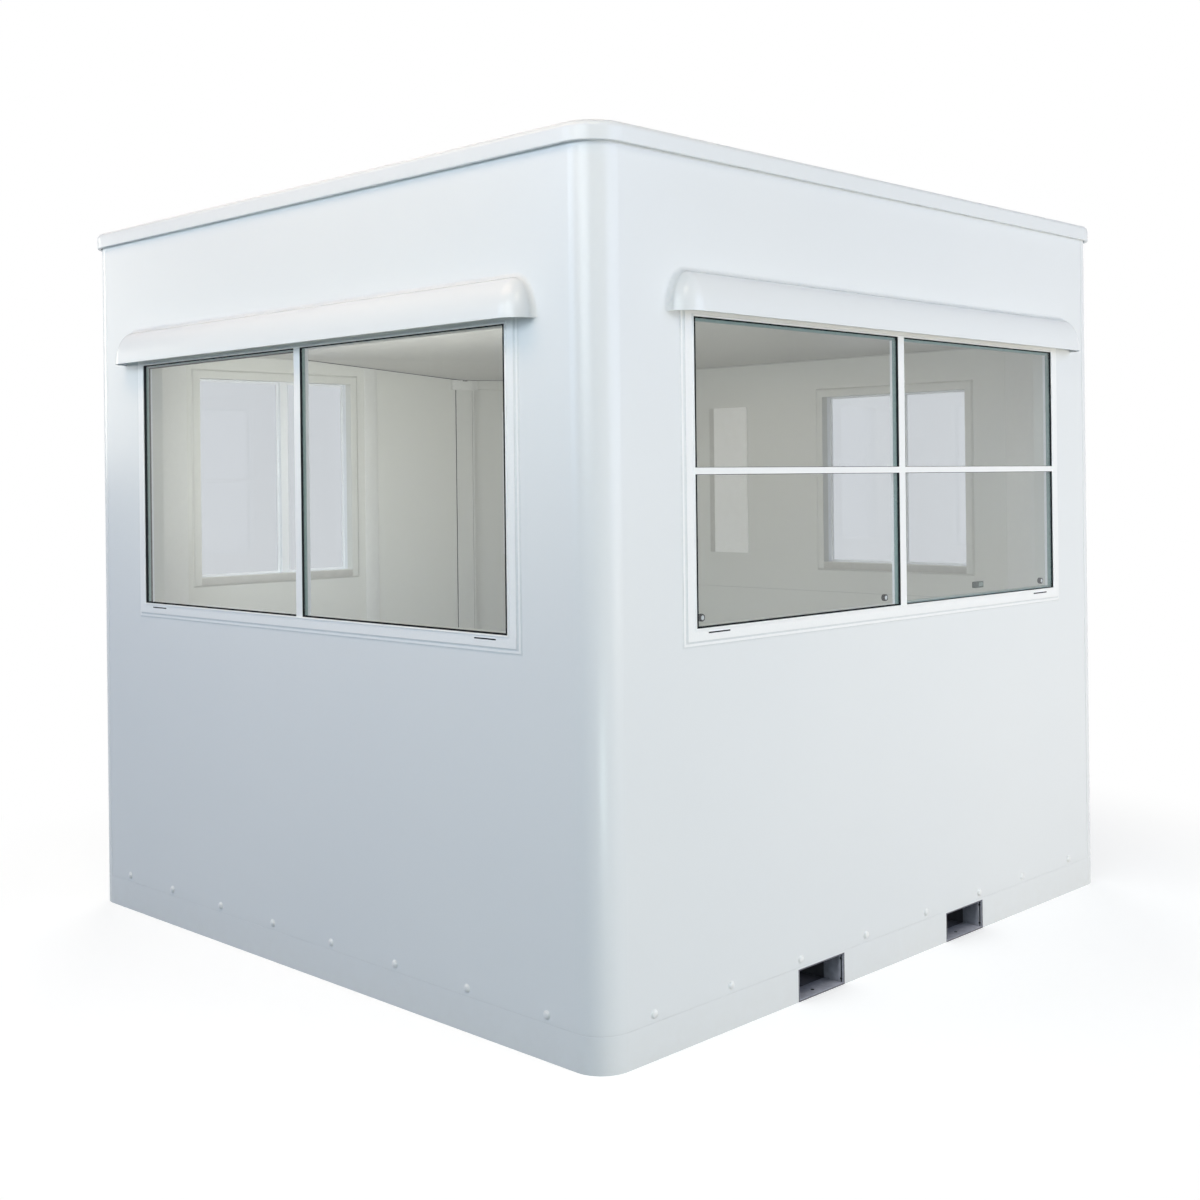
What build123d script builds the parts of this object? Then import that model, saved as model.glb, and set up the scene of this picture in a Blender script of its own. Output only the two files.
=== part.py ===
from build123d import *
import os

# Modular guard booth. The origin is the middle of its underside; +Z is up, the front wall
# faces -Y and the right wall faces +X. All sizes are in millimetres.

# Overall size
body_length = 2700.0  # along X, outer wall face to outer wall face
body_depth = 2700.0  # along Y
overall_height = 2510.0
corner_radius = 95.0  # rounded vertical corners
wall_thickness = 65.0
seam_chamfer = 1.6  # eased panel edges, which leave a fine groove at a seam

# Base
skirt_height = 103.0
rail_thickness = 80.0
joist_width = 60.0
joist_spacing = 850.0
floor_thickness = 16.0
pocket_width = 229.0  # outside of the fork pocket tube
pocket_height = 97.0
pocket_wall = 4.0
pocket_spacing = 801.0  # centre to centre
pocket_offset = -12.0  # both pockets sit slightly in front of the middle

# Roof and ceiling
fascia_height = 55.0
fascia_thickness = 12.0
fascia_gap = 5.0  # shadow gap between wall and fascia
roof_deck_thickness = 22.0
roof_edge_radius = 18.0
fascia_lip_radius = 3.0
ceiling_rise = 65.0  # above the glass of the right window
ceiling_thickness = 18.0

# Large windows, in the front and right walls. The near end is by the front right corner.
front_sill = 1139.0
front_height = 857.0
front_near_margin = 345.0  # right face to the glass
front_far_margin = 383.0
front_mullion_shift = 15.0  # from the middle of the glass, away from the near end
right_sill = 1148.0
right_height = 867.0
right_near_margin = 379.0  # front face to the glass
right_far_margin = 344.0
right_mullion_shift = 20.0
transom_shift = 4.0  # above the middle of the glass
mullion_width = 34.0
transom_width = 19.0

# Small windows, in the left and back walls
small_sill = 1195.0
small_width = 720.0
left_window_height = 790.0
back_window_height = 720.0
left_window_margin = 408.0  # front face to the glass
back_window_margin = 536.0  # right face to the glass
left_mullion_shift = 53.0
back_mullion_shift = 15.0

# Window frame section
lining_thickness = 15.0
outer_flange_width = 35.0
outer_flange_thickness = 7.0
step_width = 13.0
step_thickness = 3.0
inner_flange_width = 30.0
inner_flange_thickness = 5.0
bar_depth = 36.0
glass_thickness = 6.0
glass_setback = 4.0  # behind the face of the outer flange

# Canopies over the windows
canopy_projection = 70.0
canopy_height = 115.0
canopy_thickness = 5.0
canopy_top_flat = 6.0
large_canopy_rise = 8.0  # lip above the glass
front_canopy_near_margin = 232.0
front_canopy_far_margin = 243.0
right_canopy_near_margin = 285.0
right_canopy_far_margin = 184.0
small_canopy_overhang = 110.0  # past the glass at each end
small_canopy_rise = 10.0

# Door, in the left wall
door_margin = 136.0  # back face to the opening
door_leaf_width = 700.0
door_leaf_thickness = 44.0
door_gap = 3.0
door_jamb_width = 54.0
door_head_drop = 25.0  # ceiling to the top of the opening
door_leaf_setback = 4.0
door_stop_depth = 12.0
threshold_height = 17.0
door_outer_flange_width = 26.0
door_inner_flange_width = 40.0
door_glass_width = 300.0
door_glass_head_margin = 109.0  # below the top of the leaf
door_glass_sill = 1223.0
hinge_length = 100.0
hinge_radius = 8.0
hinge_end_margin = 205.0  # middle of an end hinge to the end of the leaf
lever_height = 1090.0
lever_inset = 62.0
lever_length = 125.0
lever_radius = 10.0
lever_stand_off = 45.0
rose_radius = 26.0
rose_thickness = 9.0

# Cover plate on the inside of the back wall
plate_width = 198.0
plate_height = 666.0
plate_sill = 1223.0
plate_margin = 816.0  # left face to the plate
plate_thickness = 5.0

# Places that follow from the sizes
half_length = body_length / 2
half_depth = body_depth / 2
inner_radius = corner_radius - wall_thickness
wall_top = overall_height - roof_deck_thickness
floor_top = skirt_height + floor_thickness
lining_reach = wall_thickness + inner_flange_thickness
ceiling_height = right_sill + right_height + ceiling_rise

# Wall planes: x runs to the right as seen from outside, y is up, z points outwards
front_plane = Plane(origin=(0, -half_depth, 0), x_dir=(1, 0, 0), z_dir=(0, -1, 0))
right_plane = Plane(origin=(half_length, 0, 0), x_dir=(0, 1, 0), z_dir=(1, 0, 0))
back_plane = Plane(origin=(0, half_depth, 0), x_dir=(-1, 0, 0), z_dir=(0, 1, 0))
left_plane = Plane(origin=(-half_length, 0, 0), x_dir=(0, -1, 0), z_dir=(-1, 0, 0))

front_window_x = (front_far_margin - front_near_margin) / 2
right_window_y = (right_near_margin - right_far_margin) / 2
left_window_y = -half_depth + left_window_margin + small_width / 2
back_window_x = half_length - back_window_margin - small_width / 2

front_window = {
    "plane": front_plane,
    "x": front_window_x,
    "width": body_length - front_near_margin - front_far_margin,
    "sill": front_sill,
    "height": front_height,
    "mullion": front_window_x - front_mullion_shift,
    "transom": None,
}
right_window = {
    "plane": right_plane,
    "x": right_window_y,
    "width": body_depth - right_near_margin - right_far_margin,
    "sill": right_sill,
    "height": right_height,
    "mullion": right_window_y + right_mullion_shift,
    "transom": right_sill + right_height / 2 + transom_shift,
}
left_window = {
    "plane": left_plane,
    "x": -left_window_y,
    "width": small_width,
    "sill": small_sill,
    "height": left_window_height,
    "mullion": -left_window_y - left_mullion_shift,
    "transom": None,
}
back_window = {
    "plane": back_plane,
    "x": -back_window_x,
    "width": small_width,
    "sill": small_sill,
    "height": back_window_height,
    "mullion": -back_window_x - back_mullion_shift,
    "transom": None,
}

door_opening_width = door_leaf_width + 2 * door_gap + 2 * door_jamb_width
door_head_height = ceiling_height - door_head_drop
door_leaf_bottom = skirt_height + threshold_height + door_gap
door_leaf_top = door_head_height - door_jamb_width - door_gap
door_x = -half_depth + door_margin + door_opening_width / 2
door_glass_height = door_leaf_top - door_glass_head_margin - door_glass_sill
hinge_heights = (
    door_leaf_bottom + hinge_end_margin,
    (door_leaf_bottom + door_leaf_top) / 2,
    door_leaf_top - hinge_end_margin,
)
plate_x = -half_length + plate_margin + plate_width / 2


def finish(piece, name):
    # Labels a finished piece and writes its file.
    piece.label = name
    export_step(piece, f"parts/{name}.step")


def middle(window):
    # Centre of a window's glass on its wall plane.
    return (window["x"], window["sill"] + window["height"] / 2)


def make_wall(plane, span, window, seam_signs, door=False):
    # A flat wall panel with its openings cut through. A seam sign names an end whose outer edge
    # is eased, and the bottom edge is always eased over the skirt.
    opening_width = window["width"] + 2 * lining_thickness
    opening_height = window["height"] + 2 * lining_thickness
    with BuildPart() as wall:
        with BuildSketch(plane):
            with Locations((0, skirt_height)):
                Rectangle(span, wall_top - skirt_height, align=(Align.CENTER, Align.MIN))
            with Locations(middle(window)):
                Rectangle(opening_width, opening_height, mode=Mode.SUBTRACT)
            if door:
                with Locations((door_x, skirt_height)):
                    Rectangle(
                        door_opening_width,
                        door_head_height - skirt_height,
                        align=(Align.CENTER, Align.MIN),
                        mode=Mode.SUBTRACT,
                    )
        extrude(amount=-wall_thickness)
        outer_face = wall.faces().sort_by(Axis(plane.origin, plane.z_dir))[-1]
        along = outer_face.edges().filter_by(Axis(plane.origin, plane.x_dir))
        eased = list(along.group_by(Axis.Z)[0])
        upright = outer_face.edges().filter_by(Axis.Z).sort_by(Axis(plane.origin, plane.x_dir))
        if -1 in seam_signs:
            eased.append(upright[0])
        if 1 in seam_signs:
            eased.append(upright[-1])
        chamfer(eased, length=seam_chamfer)
    return wall.part


def make_corner(x_sign, y_sign):
    # A quarter-round corner post that carries the wall thickness round the corner.
    centre_x = x_sign * (half_length - corner_radius)
    centre_y = y_sign * (half_depth - corner_radius)
    with BuildPart() as corner:
        with BuildSketch(Plane.XY.offset(skirt_height)):
            with Locations((centre_x, centre_y)):
                Circle(corner_radius)
                Circle(inner_radius, mode=Mode.SUBTRACT)
                Rectangle(
                    corner_radius,
                    corner_radius,
                    align=(Align.MIN if x_sign > 0 else Align.MAX, Align.MIN if y_sign > 0 else Align.MAX),
                    mode=Mode.INTERSECT,
                )
        extrude(amount=wall_top - skirt_height)
        outer_arc = corner.edges().filter_by(GeomType.CIRCLE).group_by(Axis.Z)[0].sort_by(SortBy.RADIUS)[-1]
        chamfer(outer_arc, length=seam_chamfer)
    return corner.part


def make_window_frame(window):
    # Lining through the wall, stepped flange outside, plain flange inside, and the bars.
    plane = window["plane"]
    width = window["width"]
    height = window["height"]
    with BuildPart() as frame:
        with BuildSketch(plane):
            with Locations(middle(window)):
                Rectangle(width + 2 * lining_thickness, height + 2 * lining_thickness)
                Rectangle(width, height, mode=Mode.SUBTRACT)
        extrude(amount=-lining_reach)
        with BuildSketch(plane):
            with Locations(middle(window)):
                Rectangle(width + 2 * outer_flange_width, height + 2 * outer_flange_width)
                Rectangle(width, height, mode=Mode.SUBTRACT)
        extrude(amount=outer_flange_thickness)
        with BuildSketch(plane):
            with Locations(middle(window)):
                Rectangle(
                    width + 2 * (outer_flange_width + step_width),
                    height + 2 * (outer_flange_width + step_width),
                )
                Rectangle(width, height, mode=Mode.SUBTRACT)
        extrude(amount=step_thickness)
        with BuildSketch(plane.offset(-lining_reach)):
            with Locations(middle(window)):
                Rectangle(width + 2 * inner_flange_width, height + 2 * inner_flange_width)
                Rectangle(width, height, mode=Mode.SUBTRACT)
        extrude(amount=inner_flange_thickness)
        with BuildSketch(plane.offset(outer_flange_thickness)):
            with Locations((window["mullion"], window["sill"] + height / 2)):
                Rectangle(mullion_width, height)
            if window["transom"]:
                with Locations((window["x"], window["transom"])):
                    Rectangle(width, transom_width)
        extrude(amount=-bar_depth)
    return frame.part


def make_window_glass(window):
    # One pane for each light between the bars, edge to edge with the frame.
    plane = window["plane"]
    with BuildPart() as glass:
        with BuildSketch(plane.offset(outer_flange_thickness - glass_setback)):
            with Locations(middle(window)):
                Rectangle(window["width"], window["height"])
            with Locations((window["mullion"], window["sill"] + window["height"] / 2)):
                Rectangle(mullion_width, window["height"], mode=Mode.SUBTRACT)
            if window["transom"]:
                with Locations((window["x"], window["transom"])):
                    Rectangle(window["width"], transom_width, mode=Mode.SUBTRACT)
        extrude(amount=-glass_thickness)
    return glass.part


def hood_section(section_plane, projection, height):
    # Section of a hood: a narrow flat top at the wall, then a quarter ellipse down to the lip.
    with BuildSketch(section_plane) as section:
        with Locations((canopy_top_flat, 0)):
            Ellipse(projection - canopy_top_flat, height)
        Rectangle(canopy_top_flat, height, align=(Align.MIN, Align.MIN))
        Rectangle(projection, height, align=(Align.MIN, Align.MIN), mode=Mode.INTERSECT)
    return section.sketch


def make_canopy(plane, low_x, high_x, lip_height):
    # A hollow hood: its section is swept along the wall and turned back into the wall at both
    # ends, then the inside is taken out in the same way.
    high_point = plane.from_local_coords((high_x - canopy_projection, lip_height, 0))
    low_point = plane.from_local_coords((low_x + canopy_projection, lip_height, 0))
    high_plane = Plane(origin=high_point, x_dir=plane.z_dir, z_dir=-plane.x_dir)
    low_plane = Plane(origin=low_point, x_dir=plane.z_dir, z_dir=-plane.x_dir)
    layers = (
        (canopy_projection, canopy_height, Mode.ADD),
        (canopy_projection - canopy_thickness, canopy_height - canopy_thickness, Mode.SUBTRACT),
    )
    with BuildPart() as canopy:
        for projection, height, mode in layers:
            high_section = hood_section(high_plane, projection, height)
            extrude(high_section, amount=(high_point - low_point).length, mode=mode)
            revolve(high_section, axis=Axis(high_point, (0, 0, 1)), revolution_arc=90, mode=mode)
            low_section = hood_section(low_plane, projection, height)
            revolve(low_section, axis=Axis(low_point, (0, 0, -1)), revolution_arc=90, mode=mode)
    return canopy.part


def make_rail(plane, span, pocketed=False):
    # A base rail under one wall. Its face is the skirt, and fork pockets cut it from below.
    with BuildPart() as rail:
        with BuildSketch(plane):
            Rectangle(span, skirt_height, align=(Align.CENTER, Align.MIN))
            if pocketed:
                for centre in pocket_centres:
                    with Locations((centre * plane.x_dir.Y, 0)):
                        Rectangle(
                            pocket_width,
                            pocket_height,
                            align=(Align.CENTER, Align.MIN),
                            mode=Mode.SUBTRACT,
                        )
        extrude(amount=-rail_thickness)
        outer_face = rail.faces().sort_by(Axis(plane.origin, plane.z_dir))[-1]
        top_edge = outer_face.edges().group_by(Axis.Z)[-1]
        chamfer(top_edge, length=seam_chamfer)
    return rail.part


os.makedirs("parts", exist_ok=True)

front_span = body_length - 2 * corner_radius
side_span = body_depth - 2 * corner_radius
pocket_centres = (pocket_offset - pocket_spacing / 2, pocket_offset + pocket_spacing / 2)

# Walls and corner posts
finish(make_wall(front_plane, front_span, front_window, (-1,)), "front_wall")
finish(make_wall(right_plane, side_span, right_window, (1,)), "right_wall")
finish(make_wall(back_plane, front_span, back_window, (-1, 1)), "back_wall")
finish(make_wall(left_plane, side_span, left_window, (-1, 1), door=True), "left_wall")
finish(make_corner(1, -1), "front_right_corner")
finish(make_corner(1, 1), "back_right_corner")
finish(make_corner(-1, 1), "back_left_corner")
finish(make_corner(-1, -1), "front_left_corner")

# Base rails
finish(make_rail(front_plane, front_span), "base_rail_front")
finish(make_rail(right_plane, side_span, pocketed=True), "base_rail_right")
finish(make_rail(back_plane, front_span), "base_rail_back")
finish(make_rail(left_plane, side_span, pocketed=True), "base_rail_left")

# Rounded base corners between the rails
with BuildPart() as base_corners:
    with BuildSketch(Plane.XY):
        with GridLocations(front_span, side_span, 2, 2):
            Circle(corner_radius)
            Circle(corner_radius - rail_thickness, mode=Mode.SUBTRACT)
        Rectangle(body_length, side_span, mode=Mode.SUBTRACT)
        Rectangle(front_span, body_depth, mode=Mode.SUBTRACT)
    extrude(amount=skirt_height)
    corner_tops = base_corners.edges().filter_by(GeomType.CIRCLE).group_by(Axis.Z)[-1]
    chamfer(corner_tops.group_by(SortBy.RADIUS)[-1], length=seam_chamfer)
finish(base_corners.part, "base_corners")

# Fork pockets, open at both ends
for pocket_name, pocket_y in zip(("fork_pocket_front", "fork_pocket_rear"), pocket_centres):
    with BuildPart() as fork_pocket:
        with BuildSketch(Plane.YZ.offset(-half_length)):
            with Locations((pocket_y, pocket_height / 2)):
                Rectangle(pocket_width, pocket_height)
                Rectangle(
                    pocket_width - 2 * pocket_wall,
                    pocket_height - 2 * pocket_wall,
                    mode=Mode.SUBTRACT,
                )
        extrude(amount=body_length)
    finish(fork_pocket.part, pocket_name)

# Joists between the side rails, clear of the fork pockets
with BuildPart() as floor_joists:
    with BuildSketch(Plane.XY):
        with GridLocations(0, joist_spacing, 1, 3):
            Rectangle(body_length - 2 * rail_thickness, joist_width)
    extrude(amount=skirt_height)
finish(floor_joists.part, "floor_joists")

# Floor deck between the walls, carried on the rails and joists
with BuildPart() as floor_deck:
    with BuildSketch(Plane.XY.offset(skirt_height)):
        RectangleRounded(body_length - 2 * wall_thickness, body_depth - 2 * wall_thickness, inner_radius)
    extrude(amount=floor_thickness)
finish(floor_deck.part, "floor_deck")

# Ceiling between the walls
with BuildPart() as ceiling_panel:
    with BuildSketch(Plane.XY.offset(ceiling_height)):
        RectangleRounded(body_length - 2 * wall_thickness, body_depth - 2 * wall_thickness, inner_radius)
    extrude(amount=ceiling_thickness)
finish(ceiling_panel.part, "ceiling_panel")

# Roof cap: a deck on the wall tops with a fascia that hangs outside the walls
fascia_reach = fascia_gap + fascia_thickness
with BuildPart() as roof_cap:
    with BuildSketch(Plane.XY.offset(overall_height - fascia_height)):
        RectangleRounded(
            body_length + 2 * fascia_reach, body_depth + 2 * fascia_reach, corner_radius + fascia_reach
        )
    extrude(amount=fascia_height)
    with BuildSketch(Plane.XY.offset(overall_height - fascia_height)):
        RectangleRounded(
            body_length + 2 * fascia_gap, body_depth + 2 * fascia_gap, corner_radius + fascia_gap
        )
    extrude(amount=fascia_height - roof_deck_thickness, mode=Mode.SUBTRACT)
    fillet(roof_cap.faces().sort_by(Axis.Z)[-1].edges(), radius=roof_edge_radius)
    fillet(roof_cap.faces().sort_by(Axis.Z)[0].outer_wire().edges(), radius=fascia_lip_radius)
finish(roof_cap.part, "roof_cap")

# Windows
windows = {"front": front_window, "right": right_window, "left": left_window, "back": back_window}
for side, window in windows.items():
    finish(make_window_frame(window), f"{side}_window_frame")
    finish(make_window_glass(window), f"{side}_window_glass")

# Canopies
finish(
    make_canopy(
        front_plane,
        -half_length + front_canopy_far_margin,
        half_length - front_canopy_near_margin,
        front_sill + front_height + large_canopy_rise,
    ),
    "front_canopy",
)
finish(
    make_canopy(
        right_plane,
        -half_depth + right_canopy_near_margin,
        half_depth - right_canopy_far_margin,
        right_sill + right_height + large_canopy_rise,
    ),
    "right_canopy",
)
small_canopy_reach = small_width / 2 + small_canopy_overhang
for side in ("left", "back"):
    window = windows[side]
    finish(
        make_canopy(
            window["plane"],
            window["x"] - small_canopy_reach,
            window["x"] + small_canopy_reach,
            window["sill"] + window["height"] + small_canopy_rise,
        ),
        f"{side}_canopy",
    )

# Door frame: jambs and head through the wall, a flange each side, and the stop
door_frame_height = door_head_height - skirt_height
clear_width = door_opening_width - 2 * door_jamb_width
clear_height = door_frame_height - door_jamb_width
stop_plane = left_plane.offset(-door_leaf_setback - door_leaf_thickness)
with BuildPart() as door_frame:
    with BuildSketch(left_plane):
        with Locations((door_x, skirt_height)):
            Rectangle(door_opening_width, door_frame_height, align=(Align.CENTER, Align.MIN))
            Rectangle(
                clear_width, clear_height, align=(Align.CENTER, Align.MIN), mode=Mode.SUBTRACT
            )
    extrude(amount=-wall_thickness)
    with BuildSketch(left_plane):
        with Locations((door_x, skirt_height)):
            Rectangle(
                door_opening_width + 2 * door_outer_flange_width,
                door_frame_height + door_outer_flange_width,
                align=(Align.CENTER, Align.MIN),
            )
            Rectangle(
                clear_width, clear_height, align=(Align.CENTER, Align.MIN), mode=Mode.SUBTRACT
            )
    extrude(amount=step_thickness)
    with BuildSketch(left_plane.offset(-lining_reach)):
        with Locations((door_x, floor_top)):
            Rectangle(
                door_opening_width + 2 * door_inner_flange_width,
                ceiling_height - floor_top,
                align=(Align.CENTER, Align.MIN),
            )
            Rectangle(
                clear_width,
                clear_height - floor_thickness,
                align=(Align.CENTER, Align.MIN),
                mode=Mode.SUBTRACT,
            )
    extrude(amount=inner_flange_thickness)
    with BuildSketch(stop_plane):
        with Locations((door_x, skirt_height + threshold_height)):
            Rectangle(
                clear_width, clear_height - threshold_height, align=(Align.CENTER, Align.MIN)
            )
            Rectangle(
                clear_width - 2 * door_stop_depth,
                clear_height - threshold_height - door_stop_depth,
                align=(Align.CENTER, Align.MIN),
                mode=Mode.SUBTRACT,
            )
    extrude(amount=-(lining_reach - door_leaf_setback - door_leaf_thickness))
finish(door_frame.part, "door_frame")

# Threshold between the jambs
with BuildPart() as door_threshold:
    with BuildSketch(left_plane.offset(step_thickness)):
        with Locations((door_x, skirt_height)):
            Rectangle(clear_width, threshold_height, align=(Align.CENTER, Align.MIN))
    extrude(amount=-(wall_thickness + step_thickness))
    nose = door_threshold.edges().filter_by(Axis.Y).sort_by(Axis.X)[:2].sort_by(Axis.Z)[-1]
    chamfer(nose, length=step_thickness)
finish(door_threshold.part, "door_threshold")

# Door leaf with an opening for its glass
door_glass_middle = (door_x, door_glass_sill + door_glass_height / 2)
with BuildPart() as door_leaf:
    with BuildSketch(left_plane.offset(-door_leaf_setback)):
        with Locations((door_x, door_leaf_bottom)):
            Rectangle(
                door_leaf_width, door_leaf_top - door_leaf_bottom, align=(Align.CENTER, Align.MIN)
            )
        with Locations(door_glass_middle):
            Rectangle(door_glass_width, door_glass_height, mode=Mode.SUBTRACT)
    extrude(amount=-door_leaf_thickness)
finish(door_leaf.part, "door_leaf")

with BuildPart() as door_glass:
    with BuildSketch(left_plane.offset(-door_leaf_setback - door_leaf_thickness / 2)):
        with Locations(door_glass_middle):
            Rectangle(door_glass_width, door_glass_height)
    extrude(amount=glass_thickness / 2, both=True)
finish(door_glass.part, "door_glass")

# Hinges on the front edge of the leaf: a knuckle and a plate that lies on leaf and frame
hinge_x = door_x + door_leaf_width / 2 + door_gap / 2
with BuildPart() as door_hinges:
    for hinge_height in hinge_heights:
        hinge_base = left_plane.from_local_coords((hinge_x, hinge_height, step_thickness))
        with Locations(Location(hinge_base)):
            Cylinder(hinge_radius, hinge_length)
        with BuildSketch(left_plane.offset(-door_leaf_setback)):
            with Locations((hinge_x, hinge_height)):
                Rectangle(door_gap, hinge_length)
        extrude(amount=door_leaf_setback)
    with BuildSketch(left_plane.offset(step_thickness)):
        with Locations((hinge_x, 0)):
            Rectangle(4 * hinge_radius, 2 * door_head_height)
    extrude(amount=-(step_thickness + hinge_radius), mode=Mode.SUBTRACT)
finish(door_hinges.part, "door_hinges")

# Lever handles on a round rose, one each side
lever_x = door_x - door_leaf_width / 2 + lever_inset
outer_lever_plane = left_plane.offset(-door_leaf_setback)
inner_lever_plane = Plane(
    origin=stop_plane.origin, x_dir=-stop_plane.x_dir, z_dir=-stop_plane.z_dir
)
for lever_name, lever_plane, lever_sign in (
    ("door_lever_outside", outer_lever_plane, 1),
    ("door_lever_inside", inner_lever_plane, -1),
):
    with BuildPart() as door_lever:
        with BuildSketch(lever_plane):
            with Locations((lever_sign * lever_x, lever_height)):
                Circle(rose_radius)
        extrude(amount=rose_thickness)
        with BuildSketch(lever_plane.offset(rose_thickness)):
            with Locations((lever_sign * lever_x, lever_height)):
                Circle(lever_radius)
        extrude(amount=lever_stand_off - rose_thickness)
        arm_start = lever_plane.from_local_coords(
            (lever_sign * (lever_x - lever_radius), lever_height, lever_stand_off - lever_radius)
        )
        with BuildSketch(Plane(origin=arm_start, x_dir=(0, 0, 1), z_dir=left_plane.x_dir)):
            Circle(lever_radius)
        extrude(amount=lever_length)
        fillet(door_lever.faces().sort_by(Axis.Y)[0].edges(), radius=lever_radius / 2)
    finish(door_lever.part, lever_name)

# Cover plate on the inner face of the back wall
with BuildPart() as wall_cover_plate:
    with BuildSketch(back_plane.offset(-wall_thickness)):
        with Locations((-plate_x, plate_sill + plate_height / 2)):
            RectangleRounded(plate_width, plate_height, plate_thickness)
    extrude(amount=-plate_thickness)
finish(wall_cover_plate.part, "wall_cover_plate")
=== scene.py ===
import bpy
import bmesh
import math
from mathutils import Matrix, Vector


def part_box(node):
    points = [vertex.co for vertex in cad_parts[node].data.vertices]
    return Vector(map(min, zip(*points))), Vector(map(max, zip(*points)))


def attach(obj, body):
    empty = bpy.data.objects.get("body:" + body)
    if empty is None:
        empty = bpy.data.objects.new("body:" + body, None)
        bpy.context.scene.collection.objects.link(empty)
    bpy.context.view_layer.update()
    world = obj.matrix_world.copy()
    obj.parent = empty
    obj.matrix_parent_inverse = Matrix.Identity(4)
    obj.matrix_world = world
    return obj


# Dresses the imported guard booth: a finish for every CAD part, then the seals, caps, slots,
# trims and fittings that the CAD leaves out. Metres, +Z up, front wall towards -Y.

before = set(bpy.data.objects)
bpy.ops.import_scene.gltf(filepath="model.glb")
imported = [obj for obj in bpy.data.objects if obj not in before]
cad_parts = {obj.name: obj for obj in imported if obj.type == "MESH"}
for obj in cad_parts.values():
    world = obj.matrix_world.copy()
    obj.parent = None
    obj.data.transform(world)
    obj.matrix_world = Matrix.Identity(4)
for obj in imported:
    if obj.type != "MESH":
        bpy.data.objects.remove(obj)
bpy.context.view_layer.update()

mm = 0.001

# Each wall as seen from outside: "along" runs to the right, "out" away from the booth
walls = {
    "front": {"along": Vector((1, 0, 0)), "out": Vector((0, -1, 0))},
    "right": {"along": Vector((0, 1, 0)), "out": Vector((1, 0, 0))},
    "back": {"along": Vector((-1, 0, 0)), "out": Vector((0, 1, 0))},
    "left": {"along": Vector((0, -1, 0)), "out": Vector((-1, 0, 0))},
}


def onWall(side, along, up, out=0.0):
    # a point from the wall's own measures: along it, above the ground, proud of its face
    wall = walls[side]
    return wall["along"] * along + wall["out"] * (wall["face"] + out) + Vector((0, 0, up))


def wallBox(side, node):
    # lowest and highest along, up and out of a CAD node, measured on that wall
    wall = walls[side]
    low, high = (Vector(c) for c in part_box(node))
    along = sorted((low.dot(wall["along"]), high.dot(wall["along"])))
    out = sorted((low.dot(wall["out"]), high.dot(wall["out"])))
    return {"along": along, "up": [low.z, high.z], "out": [v - wall["face"] for v in out]}


for side, wall in walls.items():
    corners = [Vector(c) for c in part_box(side + "_wall")]
    wall["face"] = max(c.dot(wall["out"]) for c in corners)  # outer face from the middle
    wall["inner"] = wallBox(side, side + "_wall")["out"][0]  # inner face from the outer one

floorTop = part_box("floor_deck")[1][2]
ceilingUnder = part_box("ceiling_panel")[0][2]


def solidsOf(side, node):
    # the separate solids of a CAD node, such as a window's sheets of glass, as boxes on the wall
    wall = walls[side]
    bm = bmesh.new()
    bm.from_mesh(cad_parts[node].data)
    bmesh.ops.remove_doubles(bm, verts=bm.verts, dist=0.1 * mm)
    waiting = set(bm.verts)
    boxes = []
    while waiting:
        group = [waiting.pop()]
        reached = list(group)
        while reached:
            for edge in reached.pop().link_edges:
                for v in edge.verts:
                    if v in waiting:
                        waiting.remove(v)
                        group.append(v)
                        reached.append(v)
        measures = {
            "along": [v.co.dot(wall["along"]) for v in group],
            "up": [v.co.z for v in group],
            "out": [v.co.dot(wall["out"]) - wall["face"] for v in group],
        }
        boxes.append({key: [min(values), max(values)] for key, values in measures.items()})
    bm.free()
    return sorted(boxes, key=lambda b: (round(b["up"][0], 3), b["along"][0]))


def hexToLinear(code):
    # an sRGB hex colour as the linear one that the shaders take
    channels = [int(code[i:i + 2], 16) / 255 for i in (0, 2, 4)]
    linear = [c / 12.92 if c <= 0.04045 else ((c + 0.055) / 1.055) ** 2.4 for c in channels]
    return (*linear, 1.0)


def addNode(tree, kind, settings=None, links=None):
    # settings are the node's own or its sockets' values, links go from a socket to an input
    node = tree.nodes.new(kind)
    for key, value in (settings or {}).items():
        if isinstance(key, str) and hasattr(node, key):
            setattr(node, key, value)
        else:
            node.inputs[key].default_value = value
    for key, socket in (links or {}).items():
        tree.links.new(socket, node.inputs[key])
    return node


def startMaterial(name, settings):
    # a material with only its surface shader, joined to the output
    material = bpy.data.materials.new(name)
    material.use_nodes = True
    tree = material.node_tree
    tree.nodes.clear()
    shader = addNode(tree, "ShaderNodeBsdfPrincipled", settings)
    output = addNode(tree, "ShaderNodeOutputMaterial", {}, {"Surface": shader.outputs["BSDF"]})
    return material, tree, shader, output


def connect(tree, source, target):
    tree.links.new(source, target)


def insideTone(tree, place, outside, tone, behind):
    # one colour outside and another from a given depth behind the wall faces inwards
    parts = addNode(tree, "ShaderNodeSeparateXYZ", {}, {"Vector": place})
    within = []
    for axis, side in (("X", "right"), ("Y", "back")):
        distance = addNode(tree, "ShaderNodeMath", {"operation": "ABSOLUTE"}, {0: parts.outputs[axis]})
        within.append(addNode(
            tree, "ShaderNodeMath", {"operation": "LESS_THAN", 1: walls[side]["face"] - behind},
            {0: distance.outputs[0]},
        ).outputs[0])
    both = addNode(tree, "ShaderNodeMath", {"operation": "MULTIPLY"}, {0: within[0], 1: within[1]})
    mix = addNode(
        tree, "ShaderNodeMix", {"data_type": "RGBA", 7: hexToLinear(tone)}, {0: both.outputs[0], 6: outside}
    )
    return mix.outputs[2]


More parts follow.
